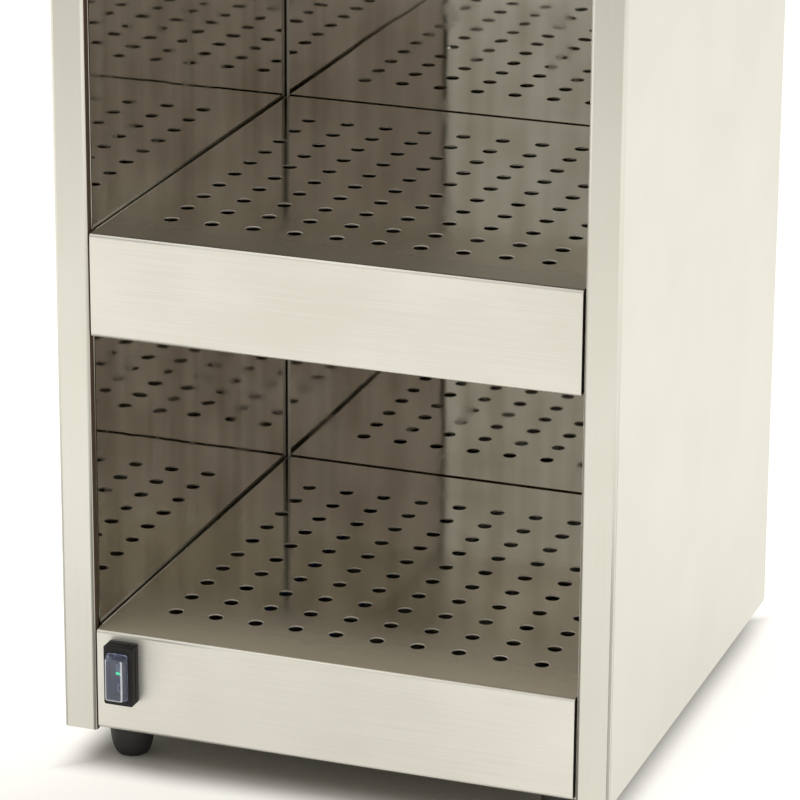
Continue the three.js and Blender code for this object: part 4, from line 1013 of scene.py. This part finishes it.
def hex_ring(centre, up, radius, bore, height):
    """A hexagonal nut or collar that starts at the centre and rises from there."""
    across = up.orthogonal().normalized()
    aside = up.cross(across)
    bm = bmesh.new()
    angles = [math.pi * (step + 0.5) / 3 for step in range(6)]
    rim = ring(bm, [centre + (across * math.cos(a) + aside * math.sin(a)) * radius for a in angles])
    sheet_between(bm, rim, round_hole(bm, centre, bore, hex_bore_sides, across, aside))
    raise_faces(bm, bm.faces[:], up * height)
    bmesh.ops.recalc_face_normals(bm, faces=bm.faces)
    ease(bm, nylon_edge)
    return bm


collar = hex_ring(seat + Y * gap, Y, hex_radius, gland_thread - gland_groove, hex_height - gap)
finished(collar, "gland_collar", black, "black_plastic")
lock_low, lock_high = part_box("cable_gland_locknut")
lock_place = Vector((gland.x, lock_low.y, gland.z))
locknut = hex_ring(lock_place, Y, hex_radius, gland_thread, lock_high.y - lock_low.y)
finished(locknut, "gland_locknut", black, "black_plastic", "cable_gland_locknut")

nut_low, nut_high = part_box("cable_gland_nut")
nut_radius = (nut_high.z - nut_low.z) / 2
nut_length = nut_high.y - nut_low.y
dome, rib_count, rib_height, rib_gap = 3 * mm, 18, 0.5 * mm, 0.2 * mm
skin, inner = nut_radius - rib_height, gland_thread + gap
stop = gland_high.y - nut_low.y + gap
nut_profile = [(inner, 0), (skin, 0)]
for rise in [math.radians(angle) for angle in (0, 30, 60, 90)]:
    nut_profile.append((skin - dome + dome * math.cos(rise), nut_length - dome + dome * math.sin(rise)))
nut_profile += [(gland_bore, nut_length), (gland_bore, stop + gap), (inner, stop), (inner, 0)]
bm = bmesh.new()
lathe(bm, nut_profile, Vector((gland.x, nut_low.y, gland.z)), Y, 2 * rib_count)
bmesh.ops.recalc_face_normals(bm, faces=bm.faces)
least_area = skin * nut_length / rib_count / 2
outer_wall = []
for face in bm.faces:
    away = face.calc_center_median() - gland
    if away.dot(face.normal) > 0 and abs(face.normal.y) < upright_rise and face.calc_area() > least_area:
        outer_wall.append((math.atan2(away.z, away.x), face))
outer_wall.sort(key=lambda wall: wall[0])
ribs = [face for share, face in outer_wall[::2]]
bmesh.ops.inset_individual(bm, faces=ribs, thickness=rib_gap, depth=rib_height)
finished(bm, "gland_nut", black, "black_plastic", "cable_gland_nut")

# Terminal block: three poles of moulded plastic, each with a way through for the wire and a well for its
# clamping screw. Beside it an earth stud and nut clamp the green and yellow wire to the base plate.
low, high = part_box("terminal_block")
pole_count = 3
pole = (high.x - low.x) / pole_count
poles = [low.x + (number + 0.5) * pole for number in range(pole_count)]
wire_way, wire_rise, way_sides = 1.6 * mm, 7 * mm, 16
well_radius, well_depth = 2.4 * mm, 4 * mm
bm = bmesh.new()
for x in poles:
    near, far, foot, top = low.y, high.y, low.z, high.z
    left, right = x - pole / 2 + gap / 2, x + pole / 2 - gap / 2
    base, lid = [[(left, near, z), (right, near, z), (right, far, z), (left, far, z)] for z in (foot, top)]
    ways = []
    for a, b, y in ((0, 1, near), (3, 2, far)):
        way = round_hole(bm, Vector((x, y, foot + wire_rise)), wire_way, way_sides, X, Z)
        sheet_between(bm, ring(bm, [base[a], base[b], lid[b], lid[a]]), way)
        ways += way
    bmesh.ops.bridge_loops(bm, edges=ways)
    well = round_hole(bm, Vector((x, (near + far) / 2, top)), well_radius, way_sides, X, Y)
    sheet_between(bm, ring(bm, lid), well)
    close(bm, carry(bm, well, -Z * well_depth))
    for points in (base, [base[0], lid[0], lid[3], base[3]], [base[1], lid[1], lid[2], base[2]]):
        bm.faces.new([bm.verts.new(point) for point in points])
finished(bm, "terminal_block_moulding", cream, "cream_plastic", "terminal_block")

stud = middle_of("earth_stud")
upright_screw("earth_stud", brass, "brass")
nut_low, nut_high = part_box("earth_nut")
nut_seat, nut_half = Vector((stud.x, stud.y, nut_low.z)), (nut_high.x - nut_low.x) / 2
nut = hex_ring(nut_seat, Z, nut_half, screw_radius + gap, nut_high.z - nut_low.z)
finished(nut, "earth_nut_pressed", brass, "brass", "earth_nut")

# Wires: heat-proof sleeves, brown for live, blue for neutral and green for earth, from the block to the
# switch, the thermostat and the elements.
wire_radius, wire_bend, wire_sides, wire_grip = 1.3 * mm, 7 * mm, 12, 4 * mm
wire_low, wire_high = 8 * mm, 17 * mm
wire_lead, wire_splay, wire_jog, wire_slack = 22 * mm, 20 * mm, 6 * mm, 18 * mm
block_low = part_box("terminal_block")[0]
low_run = block_low.z + wire_rise
in_block = block_low.y + wire_grip
spades = [middle_of(f"switch_terminal_{number}") for number in (1, 2, 3, 4)]
left, right, below, above = spades[0].x, spades[1].x, spades[0].z, spades[2].z
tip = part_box("switch_terminal_1")[1].y + gap
lead_end = tip + wire_lead
spread_end = lead_end + wire_splay
high_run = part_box("shelf_tray_lower")[1].z - tray_sheet - wire_high
warm = middle_of("thermostat")
blade_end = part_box("thermostat")[0].z - gap
pin_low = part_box("heating_element_lower")[0]
live_lane, neutral_lane = pin_low.x + cold_pin_radius, pin_low.x + pin_reach - cold_pin_radius
first_leg, last_leg = leg_rows
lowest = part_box("base_plate")[0].z + plate_sheet + wire_low
under_pin = leg_heights[0] - cold_pin_radius - gap
blade_a, blade_b = warm.x - blade_pitch / 2, warm.x + blade_pitch / 2
routes = {}
for kind, pole_x, spade_x in (("live", poles[0], left), ("neutral", poles[1], right)):
    from_block = [(pole_x, in_block, low_run), (pole_x, spread_end, low_run)]
    routes[f"wire_{kind}_to_switch"] = from_block + [(spade_x, lead_end, below), (spade_x, tip, below)]
routes["wire_switch_to_thermostat"] = [
    (right, tip, above),
    (right, lead_end, above),
    (blade_b, spread_end + wire_splay, high_run),
    (blade_b, warm.y, high_run),
    (blade_b, warm.y, blade_end),
]
routes["wire_thermostat_to_element"] = [
    (blade_a, warm.y, blade_end),
    (blade_a, warm.y, lowest),
    (live_lane, warm.y, lowest),
    (live_lane, first_leg, lowest),
    (live_lane, first_leg, under_pin),
]
routes["wire_switch_to_element"] = [
    (left, tip, above),
    (left, spread_end, above),
    (left, spread_end + wire_splay, lowest),
    (neutral_lane, spread_end + 2 * wire_splay, lowest),
    (neutral_lane, last_leg, lowest),
    (neutral_lane, last_leg, under_pin),
]
earth_y = block_low.y - wire_slack
routes["wire_earth"] = [(poles[2], in_block, low_run), (poles[2], earth_y, low_run)]
routes["wire_earth"] += [(stud.x, earth_y, low_run), (stud.x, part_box("wire_earth")[1].y, low_run)]
for below_it, above_it, name in zip(leg_heights, leg_heights[1:], levels[1:]):
    start, end = below_it + cold_pin_radius + gap, above_it - cold_pin_radius - gap
    for kind, x, y in (("live", live_lane, first_leg), ("neutral", neutral_lane, last_leg)):
        jog = [(x, y + wire_jog, start + 2 * wire_slack), (x, y + wire_jog, end - 2 * wire_slack)]
        route = [(x, y, start), (x, y, start + wire_slack), *jog, (x, y, end - wire_slack), (x, y, end)]
        routes[f"wire_{kind}_to_{name}_element"] = route
sleeves = {}
for colour, tone, shade in (
    ("brown", "#6b4226", "#5d381f"),
    ("blue", "#2c5aa0", "#264f8e"),
    ("green", "#5d8f2a", "#a8a52e"),
):
    silicone = plain(f"{colour}_silicone_sleeve", tone, shade, 0.55, 0.4 * mm, 0.01 * mm)
    sleeves[colour] = (silicone, f"{colour}_sleeve")
colours = {"neutral": "blue", "switch": "blue", "earth": "green"}
for name, corners in routes.items():
    bm = bmesh.new()
    tube(bm, corners, wire_radius, wire_bend, wire_sides)
    finished(bm, f"{name}_sleeve", *sleeves[colours.get(name.split("_")[1], "brown")], name)

# The element rests, the switch body and its spades keep their solids and get their finish.
kept = [(f"element_rest_{level}", zinc) for level in levels] + [("switch_body", black)]
kept += [(f"switch_terminal_{number}", brass) for number in (1, 2, 3, 4)]
for node, finish in kept:
    frame["nodes"][node].data.materials.clear()
    add_finishes(frame["nodes"][node], finish)
